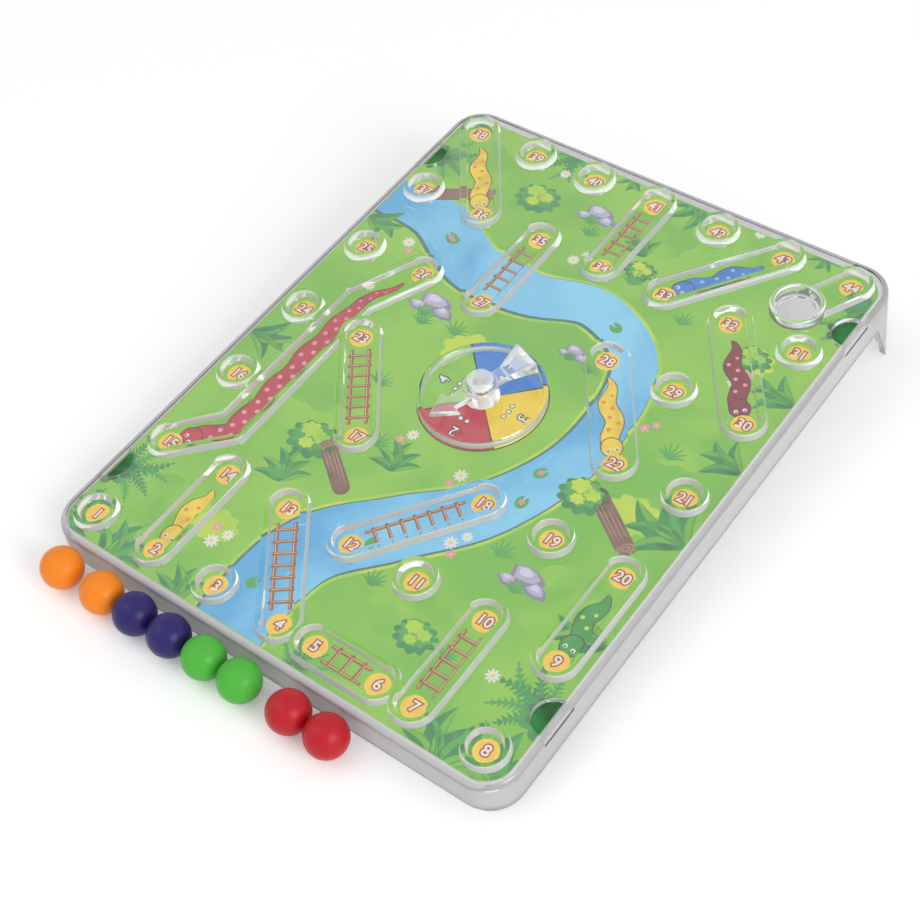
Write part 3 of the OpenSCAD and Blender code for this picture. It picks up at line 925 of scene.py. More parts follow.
class GAME_OT_scenery(bpy.types.Operator):
    """Prints the meadow: a stream with lily pads, ferns, bushes, stones, logs and flowers"""
    bl_idname = "travel_game.scenery"
    bl_label = "Scenery"

    def stream(self, sheet, colours):
        points = [at(*p) for p in (
            (-0.6, 4.72), (0.5, 4.72), (1.5, 4.35), (2.45, 4.33), (3.4, 4.5), (4.35, 4.05), (4.55, 2.95),
            (4.1, 2.0), (3.3, 1.35), (2.55, 0.65), (2.5, -0.6))]
        line = smooth_line(points, 7)
        swell = lambda t: 5.6 + 1.5 * math.sin(9 * t) + 2.6 * t
        shifted = [p + Vector((0.25, 0.45)) for p in line]
        sheet.add(ribbon(line, lambda t: swell(t) + 1.3), ink("Lawn Ink", colours.lawn, colours.meadow, 90), 1)
        sheet.add(ribbon(line, lambda t: swell(t) + 0.5), ink("Bank Ink", colours.bank), 2)
        sheet.add(ribbon(shifted, swell), ink("Water Ink", colours.water, colours.ripple, 30), 3)
        foam = ink("Ripple Ink", colours.ripple)
        for i in range(4, len(line) - 3, 2):
            along = (line[i + 1] - line[i - 1]).normalized()
            side = Vector((-along.y, along.x)) * (swell(i / len(line)) * math.sin(2.4 * i) * 0.75)
            arc = [line[i] + side + along * (k - 3) * 0.9 for k in range(7)]
            sheet.add(ribbon(arc, lambda t: 0.02 + 0.2 * math.sin(math.pi * t)), foam, 4)
        pad = ink("Pale Leaf Ink", colours.leaf_pale)
        bud = ink("Pink Ink", colours.pink)
        for i, aside in ((9, 2), (11, -2.4), (30, 1.5), (45, -2), (47, 1.8), (58, 2.6), (66, -2.5)):
            spot = line[i] + Vector((aside, -aside * 0.6))
            sheet.add([spot] + ellipse(spot, 1.9, 1.5, 0.3 * i, 20)[1:], pad, 5)
            for k in range(5 if i % 2 else 0):
                petal = spot + Vector((math.cos(1.26 * k), math.sin(1.26 * k))) * 0.5
                sheet.add(ellipse(petal, 0.5, 0.24, 1.26 * k, 10), bud, 6)

    def fern(self, sheet, colours, root, heading, reach, fronds):
        """A fan of fern fronds"""
        deep = ink("Leaf Ink", colours.leaf, [1.4 * c for c in colours.leaf], 160)
        pale = ink("Pale Leaf Ink", colours.leaf_pale)
        sheet.add(clump(root, 0.42 * reach, 9, 0.25, heading), deep, 5)
        for k in range(fronds):
            a = heading + (k - (fronds - 1) / 2) * 0.40
            r = reach * (1 - 0.09 * abs(k - (fronds - 1) / 2))
            tip = root + Vector((math.cos(a), math.sin(a))) * r
            bow = 0.12 * r * (1 if k < fronds / 2 else -1)
            sheet.add(frond(root, tip, 0.24 * r, bow), deep if k % 2 else pale, 6 + k % 2)
            stem = bowed_line(root, tip, bow)
            sheet.add(ribbon(stem, lambda t: 0.16 * (1 - t) + 0.03), pale if k % 2 else deep, 8)

    def plant(self, sheet, colours, root, heading, reach, leaves):
        """A fan of broad leaves, each with a lit half and a rib"""
        deep = ink("Leaf Ink", colours.leaf)
        pale = ink("Pale Leaf Ink", colours.leaf_pale)
        lawn = ink("Fresh Leaf Ink", colours.meadow_deep)
        for k in range(leaves):
            a = heading + (k - (leaves - 1) / 2) * 0.48
            r = reach * (1 - 0.12 * abs(k - (leaves - 1) / 2))
            tip = root + Vector((math.cos(a), math.sin(a))) * r
            bow = 0.14 * r * (1 if k < leaves / 2 else -1)
            sheet.add(leaf(root, tip, 0.15 * r, bow), deep, 6 + k % 2)
            sheet.add(leaf(root, tip, 0.13 * r, bow, -0.08), pale if k % 2 else lawn, 8)
            sheet.add(ribbon(bowed_line(root, tip, bow), lambda t: 0.13 * (1 - t) + 0.02), deep, 9)

    def bush(self, sheet, colours, middle, radius, turn):
        deep = ink("Leaf Ink", colours.leaf)
        pale = ink("Pale Leaf Ink", colours.leaf_pale)
        lawn = ink("Lawn Ink", colours.lawn)
        sheet.add(clump(middle, radius, 11, 0.2, turn), deep, 6)
        sheet.add(clump(middle + Vector((-0.08, 0.13)) * radius, 0.78 * radius, 10, 0.22, turn + 0.3), pale, 7)
        for dx, dy, share in ((-0.3, 0.34, 0.42), (0.25, 0.2, 0.34), (-0.12, -0.2, 0.3)):
            spot = middle + Vector((dx, dy)) * radius
            sheet.add(clump(spot, share * radius, 7, 0.25, turn + dx), lawn, 8)

    def stones(self, sheet, colours, middle, scale):
        """Three angular stones, lit from the upper left"""
        tones = (ink("Deep Stone Ink", colours.stone_deep), ink("Stone Ink", colours.stone),
                 ink("Stone Light Ink", [min(1, 1.4 * c) for c in colours.stone]))
        for front, dx, dy, size, turn in ((0, 0, 0.8, 3.6, 0.2), (3, 3.3, -0.9, 2.5, 1.1), (3, -2.7, -1.3, 2.1, 2.3)):
            spot = middle + Vector((dx, dy)) * scale
            rim = []
            for k in range(8):
                a = math.tau * k / 8 + turn
                reach = size * scale * (0.88 + 0.16 * math.sin(2.6 * k + 5 * turn))
                rim.append(spot + Vector((1.15 * math.cos(a), 0.75 * math.sin(a))) * reach)
            crown = spot + Vector((-0.3, 0.42)) * size * scale
            for layer, (tone, share) in enumerate(zip(tones, (0, 0.28, 0.6))):
                sheet.add([p.lerp(crown, share) for p in rim], tone, 6 + front + layer)
        self.tuft(sheet, colours, middle - Vector((0.3, 3.4)) * scale, 3 * scale)

    def log(self, sheet, colours, middle, turn, reach, radius):
        bark = ink("Bark Ink", colours.bark, [1.5 * c for c in colours.bark], 300)
        cut = ink("Cut Wood Ink", colours.bark_pale)
        along = Vector((math.cos(turn), math.sin(turn)))
        ends = [middle - along * reach, middle + along * reach]
        sheet.add(band(ends, radius, 8), bark, 6)
        for k, share in enumerate((-0.62, -0.25, 0.2, 0.6)):
            across = Vector((-along.y, along.x)) * radius * share
            grain = [ends[0].lerp(ends[1], t / 8) + across for t in range(k, 8)]
            sheet.add(ribbon(grain, lambda t: 0.03 + 0.14 * math.sin(math.pi * t)), cut, 7)
        for layer, share, tone in ((8, 1.0, cut), (9, 0.7, bark), (10, 0.55, cut), (11, 0.25, bark)):
            sheet.add(ellipse(ends[1], 0.58 * radius * share, radius * share, turn), tone, layer)

    def flower(self, sheet, colours, middle, radius, tone, petals):
        heart = ink("Yellow Ink", colours.yellow)
        for k in range(petals):
            a = math.tau * k / petals + middle.x
            spot = middle + Vector((math.cos(a), math.sin(a))) * radius * 0.6
            sheet.add(ellipse(spot, 0.42 * radius, 1.6 * radius / petals, a, 10), tone, 10)
        sheet.add(circle(middle, 0.27 * radius, 12), heart, 11)

    def tuft(self, sheet, colours, root, height):
        """Spread blades of grass"""
        blade = ink("Pale Leaf Ink", colours.leaf_pale)
        for k in range(-3, 4):
            a = math.pi / 2 + 0.38 * k
            tip = root + Vector((math.cos(a), math.sin(a))) * height * (1.25 - 0.12 * abs(k))
            sheet.add(leaf(root - Vector((0.15 * k, 0)), tip, 0.26, -0.16 * k), blade, 12)

    def execute(self, context):
        board, colours = context.scene.game_board, context.scene.game_colours
        sheet = PrintSheet("print_scenery")
        self.stream(sheet, colours)
        glade = ink("Glade Ink", colours.lawn, colours.meadow, 50)
        deep = ink("Deep Meadow Ink", colours.meadow_deep, colours.meadow, 70)
        for col, row, r, turn in ((0.3, 5.6, 12, 0), (5.7, 1.5, 13, 1), (1.1, 2.4, 12, 2), (5.5, 3.6, 12, 0.5),
                                  (3.3, 5.7, 11, 1.5), (0.7, 0.4, 12, 0.8), (4.2, 0.7, 10, 0.2)):
            sheet.add(clump(at(col, row), r, 7, 0.16, turn), deep, 0)
        for col, row, r, turn in ((2.4, 3.4, 8, 0), (5.55, 4.7, 6, 1), (1.4, 0.5, 6, 2), (5.6, 2.6, 7, 0.5)):
            sheet.add(clump(at(col, row), r, 9, 0.2, turn), glade, 1)
        for col, row, heading, reach, fronds in (
                (6.38, 5.8, -1.75, 15, 4), (6.38, 0.5, 2.8, 17, 6), (-0.38, 5.5, 0.1, 15, 5), (-0.38, 0.5, 0.4, 16, 6),
                (1.5, 6.38, -1.7, 15, 5), (3.5, -0.38, 1.5, 12, 5)):
            self.fern(sheet, colours, at(col, row), heading, reach, fronds)
        for col, row, heading, reach, leaves in (
                (0.5, -0.38, 1.3, 14, 5), (5.6, -0.38, 1.8, 15, 5), (3.5, 6.38, -1.5, 13, 5), (6.38, 2.55, 2.8, 17, 5),
                (6.42, -0.3, 2.3, 18, 5), (-0.42, -0.3, 0.8, 17, 5), (1.7, -0.38, 1.9, 12, 4), (6.38, 1.35, 3.3, 14, 4),
                (-0.38, 4.4, -0.1, 12, 4), (-0.4, 6.3, -0.7, 13, 4), (2.4, 6.38, -1.2, 9, 4), (6.38, 3.5, 2.9, 12, 4),
                (-0.38, 2.5, 0.1, 13, 4), (6.38, 4.42, 3.0, 12, 4), (5.45, 6.38, -1.4, 9, 4),
                (1.62, 1.2, 2.0, 11, 6), (2.72, 1.85, 1.9, 10, 6), (3.4, 5.35, 2.4, 9, 5)):
            self.plant(sheet, colours, at(col, row), heading, reach, leaves)
        # Painted shade: dark green clumps printed under each half-round lug hole stand in for the shadow in the hole
        shade = ink("Lug Hole Painted Shade Ink", colours.leaf_shade, colours.leaf, 160)
        for x in (-1, 1):
            for y in (-1, 1):
                place = Vector((x * (board.width / 2 - board.skirt), y * board.lug_place)) / MM
                sheet.add(clump(place, 6.2, 9, 0.2), shade, 10)
        for col, row, r, turn in ((1.55, 1.75, 7, 0.2), (4.95, 2.55, 6.5, 1.2), (2.45, 3.0, 5, 0.6), (5.55, 4.72, 5, 2),
                                  (1.5, 5.5, 6.5, 0.4), (4.45, 0.55, 5.5, 1.8), (3.5, 5.15, 4.5, 0.9)):
            self.bush(sheet, colours, at(col, row), r, turn)
        for col, row, scale in ((1.45, 3.72, 1.25), (5.05, 1.52, 1.2), (3.55, 3.92, 0.8), (2.4, 5.6, 1.1)):
            self.stones(sheet, colours, at(col, row), scale)
        for col, row, turn, reach, radius in ((0.52, 5.15, 0.5, 7, 2.2), (5.45, 2.45, -0.6, 8, 2.3),
                                              (2.05, 1.62, 2.5, 7, 2.1), (4.5, 5.42, 0.9, 6, 2)):
            self.log(sheet, colours, at(col, row), turn, reach, radius)
        white = ink("Petal Ink", colours.petal)
        for col, row, r in ((1.5, 0.35, 1.9), (1.62, 0.48, 1.5), (4.0, 1.5, 1.8), (4.12, 1.63, 1.4), (5.5, 0.6, 1.8),
                            (0.45, 4.3, 1.8), (5.55, 4.4, 1.9), (5.42, 4.5, 1.5), (3.5, 2.15, 1.8), (2.6, 2.3, 1.6),
                            (1.55, 5.95, 1.6), (4.5, 6.2, 1.6), (0.5, 3.6, 1.5), (2.6, 4.95, 1.7), (2.75, 5.05, 1.3)):
            self.flower(sheet, colours, at(col, row), r, white, 9)
        pink = ink("Pink Ink", colours.pink)
        for col, row, r in ((1.42, 0.5, 1.3), (4.1, 1.4, 1.3), (5.65, 4.52, 1.3), (2.5, 2.2, 1.2), (0.55, 4.2, 1.2),
                            (3.45, 2.03, 1.2), (5.0, 3.5, 1.3), (5.1, 3.58, 1.1), (2.9, 5.6, 1.2)):
            self.flower(sheet, colours, at(col, row), r, pink, 5)
        for col, row, h in ((1.5, 1.2, 4), (3.55, 0.75, 4), (4.6, 1.6, 4.5), (2.5, 5.3, 4), (5.5, 3.3, 4.5),
                            (1.5, 3.45, 4), (3.5, 4.95, 4), (0.5, 1.75, 3.5), (4.45, 4.75, 4), (1.7, 2.6, 4),
                            (2.0, 3.5, 4.5), (3.9, 3.75, 3.5), (4.95, 4.9, 4), (2.3, 2.0, 4), (4.9, 0.5, 3.5)):
            self.tuft(sheet, colours, at(col, row), h)
        sheet.draw()
        return {"FINISHED"}


class GAME_OT_snakes(bpy.types.Operator):
    """Prints a plain snake along each snake track"""
    bl_idname = "travel_game.snakes"
    bl_label = "Snakes"

    def execute(self, context):
        colours = context.scene.game_colours
        sheet = PrintSheet("print_snakes")
        dark_red = [0.45 * c for c in colours.red]
        skins = {
            (38, 36): (colours.yellow, colours.orange), (26, 15): (colours.red, colours.pink),
            (14, 2): (colours.yellow, colours.orange), (43, 33): (colours.blue, colours.ripple),
            (32, 30): (dark_red, colours.pink), (28, 22): (colours.yellow, colours.orange),
            (20, 9): (colours.forest, colours.lawn),
        }
        line_ink = ink("Line Ink", colours.outline)
        white = ink("White Ink", colours.white)
        black = ink("Black Ink", colours.black)
        for pair, places in SNAKES.items():
            path = [at(*p) for p in places]
            path[0] = path[0] + (path[1] - path[0]).normalized() * 5.2
            path[-1] = path[-1] + (path[-2] - path[-1]).normalized() * 5.6
            skin, spot = skins[pair]
            skin_ink = ink("Snake Ink %d" % pair[0], skin, [0.75 * c for c in skin], 220)
            spot_ink = ink("Spot Ink %d" % pair[0], spot)
            line = []
            for a, b in zip(path, path[1:]):
                steps = max(4, round((b - a).length / 1.1))
                line += [a.lerp(b, k / steps) for k in range(steps)]
            line.append(path[-1])
            for _ in range(3):
                line = [line[0]] + [(a + 2 * b + c) / 4 for a, b, c in zip(line, line[1:], line[2:])] + [line[-1]]
            wave = 0.75 if len(path) == 2 else 0.45
            turns = max(1.5, round(len(line) / 12))
            body = []
            for i, here in enumerate(line):
                along = (line[min(i + 1, len(line) - 1)] - line[max(i - 1, 0)]).normalized()
                sway = wave * math.sin(math.tau * turns * i / len(line))
                body.append(here + Vector((-along.y, along.x)) * sway)
            thick = 1.95 if len(path) == 2 else 2.45
            girth = lambda t: 0.15 + thick * min(1, 2.6 * t) ** 0.8
            sheet.add(ribbon(body, lambda t: girth(t) + 0.22), line_ink, 12)
            sheet.add(ribbon(body, girth), skin_ink, 13)
            for i in range(5, len(body) - 3, 2):
                along = (body[i + 1] - body[i - 1]).normalized()
                aside = Vector((-along.y, along.x)) * girth(i / len(body)) * 0.42 * (-1) ** (i // 2)
                sheet.add(circle(body[i] + aside, 0.2 * girth(i / len(body)) + 0.12, 10), spot_ink, 14)
            ahead = (body[-1] - body[-3]).normalized()
            turn = math.atan2(ahead.y, ahead.x)
            head = body[-1] + ahead * 0.6
            tongue = [head + ahead * 2.2, head + ahead * 3.6]
            sheet.add(band(tongue, 0.22, 6), ink("Red Ink", colours.red), 12)
            sheet.add(ellipse(head, 3.0, thick + 0.75, turn), line_ink, 14)
            sheet.add(ellipse(head, 2.75, thick + 0.5, turn), skin_ink, 15)
            across = Vector((-ahead.y, ahead.x))
            for side in (-1, 1):
                eye = head + ahead * 0.8 + across * side * 1.05
                sheet.add(circle(eye, 0.55, 12), white, 16)
                sheet.add(circle(eye + ahead * 0.15, 0.28, 10), black, 17)
        sheet.draw()
        return {"FINISHED"}


class GAME_OT_ladders(bpy.types.Operator):
    """Prints a ladder along each ladder track"""
    bl_idname = "travel_game.ladders"
    bl_label = "Ladders"

    def execute(self, context):
        colours = context.scene.game_colours
        sheet = PrintSheet("print_ladders")
        wood = ink("Ladder Ink", colours.ladder, [1.3 * c for c in colours.ladder], 300)
        light = ink("Ladder Light Ink", colours.ladder_pale)
        for places in LADDERS.values():
            start, end = (at(*p) for p in places)
            along = (end - start).normalized()
            across = Vector((-along.y, along.x))
            gap = 4.2 if (end - start).length > 20 else 3.6
            foot, top = start + along * gap, end - along * gap
            for side in (-1, 1):
                rail = [foot + across * side * 2.1, top + across * side * 2.1]
                sheet.add(band(rail, 0.5, 6), wood, 13)
                shine = [p + across * 0.16 for p in rail]
                sheet.add(band(shine, 0.08, 4), light, 14)
            count = round((top - foot).length / 3.1)
            for k in range(count):
                middle = foot.lerp(top, (k + 0.5) / count)
                rung = [middle - across * 2.6, middle + across * 2.6]
                sheet.add(band(rung, 0.44, 6), wood, 15)
                shine = [middle - across * 2.3 + along * 0.14, middle + across * 2.3 + along * 0.14]
                sheet.add(band(shine, 0.07, 4), light, 16)
        sheet.draw()
        return {"FINISHED"}


class GAME_OT_numbers(bpy.types.Operator):
    """Prints a disc and a number at each square"""
    bl_idname = "travel_game.numbers"
    bl_label = "Numbers"

    def execute(self, context):
        colours = context.scene.game_colours
        sheet = PrintSheet("print_numbers")
        disc = ink("Disc Ink", colours.disc, [min(1, 1.12 * c) for c in colours.disc], 400)
        pale = ink("Disc Light Ink", colours.yellow)
        edge = ink("Numeral Edge Ink", colours.numeral_edge)
        face = ink("Numeral Ink", colours.numeral)
        squares = {square: at(*place) for square, place in WELLS.items()}
        for (first, last), places in {**SNAKES, **LADDERS}.items():
            squares[first] = at(*places[0])
            squares[last] = at(*places[-1])
        squares[FINISH[0]] = at(*FINISH[1])
        for square, spot in squares.items():
            sheet.add(circle(spot, 2.9), pale, 18)
            sheet.add(circle(spot, 2.35), disc, 19)
            sheet.write(str(square), spot, 2.75, edge, 20, swell=0.4)
            sheet.write(str(square), spot, 2.75, face, 21, swell=0.07)
        sheet.draw()
        return {"FINISHED"}


class GAME_OT_dial(bpy.types.Operator):
    """Prints the four coloured quarters of the dial, with their numbers and pips"""
    bl_idname = "travel_game.dial"
    bl_label = "Dial"

    def sector(self, middle, spread, inner, outer):
        """Outline of a piece of a ring"""
        rim = []
        for radius, way in ((inner, -1), (outer, 1)):
            for k in range(17):
                a = middle + way * (k / 16 - 0.5) * spread
                rim.append(Vector((math.cos(a), math.sin(a))) * radius)
        return rim

    def execute(self, context):
        board, colours = context.scene.game_board, context.scene.game_colours
        sheet = PrintSheet("print_dial")
        black = ink("Black Ink", colours.black)
        white = ink("White Ink", colours.white)
        radius = board.dial / MM / 2 - 0.1
        quarters = (("3", colours.yellow), ("1", colours.blue), ("4", colours.green), ("2", colours.red))
        for i, (number, colour) in enumerate(quarters):
            middle = math.pi / 2 * i
            sheet.add(self.sector(middle, math.pi / 2, 3.0, radius + 0.3), black, 18)
            wedge = self.sector(middle, math.pi / 2 - 0.03, 3.3, radius)
            sheet.add(wedge, ink("Dial Ink " + number, colour, [0.9 * c for c in colour], 200), 19)
            out = Vector((math.cos(middle), math.sin(middle)))
            sheet.write(number, out * 11.6, 2.9, black, 20, middle - math.pi / 2, 0.32)
            sheet.write(number, out * 11.6, 2.9, white, 21, middle - math.pi / 2, 0.04)
            for k in range(int(number)):
                a = middle + (k - (int(number) - 1) / 2) * 0.24
                spot = Vector((math.cos(a), math.sin(a))) * 7.6
                sheet.add(circle(spot, 0.72, 16), black, 20)
                sheet.add(circle(spot, 0.52, 16), white, 21)
        sheet.draw()
        return {"FINISHED"}


class GAME_OT_spinner(bpy.types.Operator):
    """Builds the arrow with its hub and finger grip, and the pin that holds it"""
    bl_idname = "travel_game.spinner"
    bl_label = "Spinner"

    def arrow(self, spin):
        low, thick = spin.blade_low / MM, spin.blade / MM
        hub = raise_plan(plan("hub", circle((0, 0), spin.hub / MM / 2, 48), spin.hub_low / MM),
                         (spin.hub_top - spin.hub_low) / MM)
        round_top(hub, spin.hub_top / MM, 0.4)
        base, half = spin.head_start / MM, spin.head_width / MM / 2
        arm = spin.arm / MM / 2
        pointer = [Vector(p) for p in (
            (0, -arm), (base, -arm), (base, -half), (spin.point / MM, 0), (base, half), (base, arm), (0, arm))]
        blade = round_top(raise_plan(plan("blade", pointer, low), thick), low + thick, 0.4, 3)
        combine(hub, blade, "UNION")
        tail, grip = -spin.tail / MM, spin.grip_width / MM / 2
        handle = [Vector(p) for p in ((0, arm), (-6.3, arm), (tail, grip), (tail, -grip), (-6.3, -arm), (0, -arm))]
        rest = round_top(raise_plan(plan("tail", handle, low), thick), low + thick, 0.4, 3)
        combine(hub, rest, "UNION")
        wedge = [Vector(p) for p in ((-6.3, arm), (tail, grip), (tail, -grip), (-6.3, -arm))]
        rise = raise_plan(plan("grip", wedge, low + 0.2), thick - 0.15)
        for vertex in rise.data.vertices:
            if vertex.co.z > (low + 0.4) * MM and vertex.co.x < (tail + 0.1) * MM:
                vertex.co.z += spin.grip_rise
        round_top(rise, low + thick - 0.1, 0.3, 2)
        bpy.ops.object.mode_set(mode="EDIT")
        choose(rise, faces=lambda f: f.normal.z > 0.8 and f.calc_area() > 1e-5)
        bpy.ops.mesh.inset(thickness=0.0011, depth=-0.0008)
        bpy.ops.object.mode_set(mode="OBJECT")
        combine(hub, rise, "UNION")
        combine(hub, raise_plan(plan("bore", circle((0, 0), spin.shank / MM / 2 + 0.08), -1), 9), "DIFFERENCE")
        hub.matrix_world = Matrix.Rotation(spin.turn, 4, "Z")
        return hub

    def pin(self, spin):
        cap_low, cap_top = spin.cap_low / MM, spin.cap_top / MM
        cap = raise_plan(plan("cap", circle((0, 0), spin.cap / MM / 2, 48), cap_low), cap_top - cap_low)
        round_top(cap, cap_top, 0.7, 4)
        shank = raise_plan(plan("shank", circle((0, 0), spin.shank / MM / 2, 32), -1.6), cap_low + 2)
        combine(cap, shank, "UNION")
        barb = raise_plan(plan("barb", circle((0, 0), 2.2, 32), -3.2), 1.79)
        for vertex in barb.data.vertices:
            if vertex.co.z < -0.0025:
                vertex.co.x *= 0.6
                vertex.co.y *= 0.6
        return combine(cap, barb, "UNION")

    def execute(self, context):
        spin, colours = context.scene.game_spinner, context.scene.game_colours
        plastic = clear_plastic("Clear Spinner", colours.clear, 0.12, 0.04, 0.12, 0.00003, True)
        edge = clear_plastic("Clear Spinner Edge", colours.clear, 0.46, 0.05, 0.14, 0.00003, True)
        for name, obj, body, node in (("clear_arrow", self.arrow(spin), "arrow", "spinner_arrow"),
                                      ("clear_pin", self.pin(spin), "board", "spinner_pin")):
            obj.name = name
            for face in obj.data.polygons:
                face.material_index = 0 if body == "arrow" and abs(face.normal.z) > 0.97 else 1
            stand(obj)
            bpy.ops.object.shade_smooth_by_angle(angle=math.radians(32))
            finish_piece(obj, None, body, [node])
            obj.data.materials.append(plastic)
            obj.data.materials.append(edge)
        return {"FINISHED"}


class GAME_OT_balls(bpy.types.Operator):
    """Builds the eight balls, each with the fine seam and gate mark of its mould"""
    bl_idname = "travel_game.balls"
    bl_label = "Balls"

    def execute(self, context):
        colours = context.scene.game_colours
        low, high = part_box("ball_orange_1")
        radius = (high.z - low.z) / 2
        clear_selection()
        bpy.ops.mesh.primitive_uv_sphere_add(segments=64, ring_count=32, radius=radius)
        master = bpy.context.object
        bpy.ops.object.mode_set(mode="EDIT")
        choose(master, edges=lambda e: all(abs(v.co.z) < 1e-6 for v in e.verts))
        bpy.ops.mesh.bevel(offset=0.00009, segments=2, affect="EDGES")
        choose(master, edges=lambda e: all(abs(v.co.z) < 1e-6 for v in e.verts))
        bpy.ops.transform.resize(value=(0.9965, 0.9965, 1), center_override=(0, 0, 0))
        choose(master, faces=lambda f: f.normal.z > 0.985)
        bpy.ops.transform.translate(value=(0, 0, -0.00005))
        bpy.ops.object.mode_set(mode="OBJECT")
        bpy.ops.object.shade_smooth()
        tints = {"orange": colours.ball_orange, "blue": colours.ball_blue,
                 "green": colours.ball_green, "red": colours.ball_red}
        lean = ((0.6, 0.2), (1.3, 0.9), (0.9, 2.1), (0.3, 1.2), (1.1, 2.9), (0.7, 0.5), (1.4, 1.7), (0.5, 2.4))
        materials = {tint: ball_plastic("Satin %s Plastic" % tint.title(), tints[tint]) for tint in tints}
        names = [tint + "_" + str(k) for tint in tints for k in (1, 2)]
        for name, (tip, spin) in zip(names, lean):
            low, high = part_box("ball_" + name)
            take(master)
            bpy.ops.object.duplicate()
            ball = bpy.context.object
            ball.name = "ball_" + name + "_moulded"
            ball.matrix_world = (Matrix.Translation((low + high) / 2) @ Matrix.Rotation(spin, 4, "Z")
                                 @ Matrix.Rotation(tip, 4, "X"))
            bpy.ops.object.transform_apply(location=True, rotation=True, scale=True)
            tint = name[:-2]
            finish_piece(ball, materials[tint], "ball_" + name + "_body", ["ball_" + name])
        bpy.data.objects.remove(master, do_unlink=True)
        return {"FINISHED"}


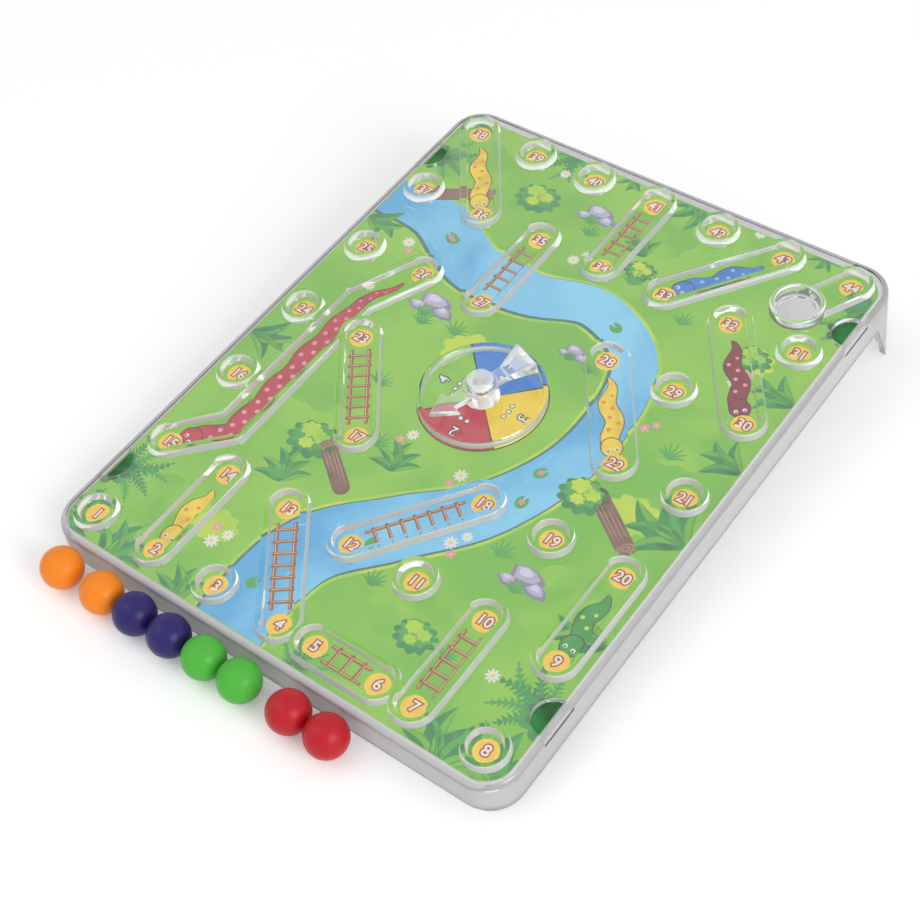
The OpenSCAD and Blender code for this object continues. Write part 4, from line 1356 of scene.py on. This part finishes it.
class GAME_OT_stage(bpy.types.Operator):
    """Sets the pale table, the soft lights and the camera"""
    bl_idname = "travel_game.stage"
    bl_label = "Stage"

    def seen(self, nodes, links):
        """One where the surface is seen, straight or in plastic, and nothing where it only gives light"""
        ray = nodes.new("ShaderNodeLightPath")
        total = ray.outputs["Is Camera Ray"]
        for kind in ("Is Glossy Ray", "Is Transmission Ray"):
            add = nodes.new("ShaderNodeMath")
            add.operation = "ADD"
            add.use_clamp = True
            links.new(total, add.inputs[0])
            links.new(ray.outputs[kind], add.inputs[1])
            total = add.outputs["Value"]
        return total

    def studio(self, scene):
        """White surroundings that light the game at a plain level"""
        scene.world = bpy.data.worlds.new("Studio")
        scene.world.use_nodes = True
        nodes, links = scene.world.node_tree.nodes, scene.world.node_tree.links
        level = nodes.new("ShaderNodeMapRange")
        level.inputs["To Min"].default_value = 0.66
        level.inputs["To Max"].default_value = 1.0
        nodes["Background"].inputs["Color"].default_value = (1, 1, 1, 1)
        links.new(self.seen(nodes, links), level.inputs["Value"])
        links.new(level.outputs["Result"], nodes["Background"].inputs["Strength"])

    def table(self):
        clear_selection()
        bpy.ops.mesh.primitive_plane_add(size=8, location=(0, 0, -0.0002))
        table = bpy.context.object
        table.name = "table"
        material, nodes, links = new_material("Pale Table")
        shader = nodes["Principled BSDF"]
        shader.inputs["Base Color"].default_value = (0.93, 0.93, 0.93, 1)
        shader.inputs["Roughness"].default_value = 0.9
        shader.inputs["Specular IOR Level"].default_value = 0.1
        glow = nodes.new("ShaderNodeEmission")
        glow.inputs["Strength"].default_value = 0.18
        both = nodes.new("ShaderNodeAddShader")
        place = nodes.new("ShaderNodeTexCoord")
        reach = nodes.new("ShaderNodeVectorMath")
        reach.operation = "LENGTH"
        far = nodes.new("ShaderNodeMapRange")
        far.interpolation_type = "SMOOTHSTEP"
        far.inputs["From Min"].default_value = 0.15
        far.inputs["From Max"].default_value = 0.42
        white = nodes.new("ShaderNodeEmission")
        fade = nodes.new("ShaderNodeMixShader")
        mix = nodes.new("ShaderNodeMixShader")
        links.new(place.outputs["Object"], reach.inputs[0])
        links.new(reach.outputs["Value"], far.inputs["Value"])
        links.new(far.outputs["Result"], fade.inputs["Fac"])
        links.new(shader.outputs["BSDF"], both.inputs[0])
        links.new(glow.outputs["Emission"], both.inputs[1])
        links.new(both.outputs["Shader"], fade.inputs[1])
        links.new(white.outputs["Emission"], fade.inputs[2])
        links.new(self.seen(nodes, links), mix.inputs["Fac"])
        links.new(shader.outputs["BSDF"], mix.inputs[1])
        links.new(fade.outputs["Shader"], mix.inputs[2])
        links.new(mix.outputs["Shader"], nodes["Material Output"].inputs["Surface"])
        table.data.materials.append(material)

    def lamp(self, name, place, size, power):
        clear_selection()
        bpy.ops.object.light_add(type="AREA", location=place)
        lamp = bpy.context.object
        lamp.name = name
        lamp.data.size = size
        lamp.data.energy = power
        lamp.rotation_euler = (-Vector(place)).to_track_quat("-Z", "Y").to_euler()

    def camera(self):
        clear_selection()
        bpy.ops.object.camera_add()
        camera = bpy.context.object
        camera.name = "camera"
        camera.data.sensor_width = 36
        camera.data.lens = 66.77
        camera.data.clip_start = 0.01
        right = Vector((0.7965, 0.5948, -0.1082)).normalized()
        forward = Vector((-0.4390, 0.4459, -0.7800)).normalized()
        up = right.cross(forward)
        turn = Matrix((right, up, -forward)).transposed().to_4x4()
        camera.matrix_world = STAND @ Matrix.Translation((0.17952, -0.19354, 0.30671)) @ turn
        bpy.context.scene.camera = camera

    def execute(self, context):
        scene = context.scene
        self.table()
        self.lamp("key_light", (0.9, -0.2, 0.55), 0.5, 4.4)
        self.lamp("fill_light", (-0.6, -0.5, 1.05), 0.9, 2.2)
        self.camera()
        self.studio(scene)
        scene.view_settings.view_transform = "Standard"
        return {"FINISHED"}


OPERATORS = (
    GAME_OT_stage, GAME_OT_clear_moulding, GAME_OT_card, GAME_OT_scenery, GAME_OT_snakes, GAME_OT_ladders,
    GAME_OT_numbers, GAME_OT_dial, GAME_OT_spinner, GAME_OT_balls,
)


class GAME_PT_panel(bpy.types.Panel):
    """Lists the pieces of the game in the order they are built"""
    bl_idname = "GAME_PT_panel"
    bl_label = "Travel Game"
    bl_space_type = "VIEW_3D"
    bl_region_type = "UI"
    bl_category = "Travel Game"

    def draw(self, context):
        for operator in OPERATORS:
            self.layout.operator(operator.bl_idname)


CLASSES = (GameBoardSizes, GameSpinnerSizes, GameColours) + OPERATORS + (GAME_PT_panel,)


def register():
    for item in CLASSES:
        bpy.utils.register_class(item)
    bpy.types.Scene.game_board = bpy.props.PointerProperty(type=GameBoardSizes)
    bpy.types.Scene.game_spinner = bpy.props.PointerProperty(type=GameSpinnerSizes)
    bpy.types.Scene.game_colours = bpy.props.PointerProperty(type=GameColours)


def unregister():
    del bpy.types.Scene.game_board
    del bpy.types.Scene.game_spinner
    del bpy.types.Scene.game_colours
    for item in reversed(CLASSES):
        bpy.utils.unregister_class(item)


def main():
    register()
    bpy.ops.travel_game.stage()
    bpy.ops.travel_game.clear_moulding()
    bpy.ops.travel_game.card()
    bpy.ops.travel_game.scenery()
    bpy.ops.travel_game.snakes()
    bpy.ops.travel_game.ladders()
    bpy.ops.travel_game.numbers()
    bpy.ops.travel_game.dial()
    bpy.ops.travel_game.spinner()
    bpy.ops.travel_game.balls()


if __name__ == "__main__":
    main()
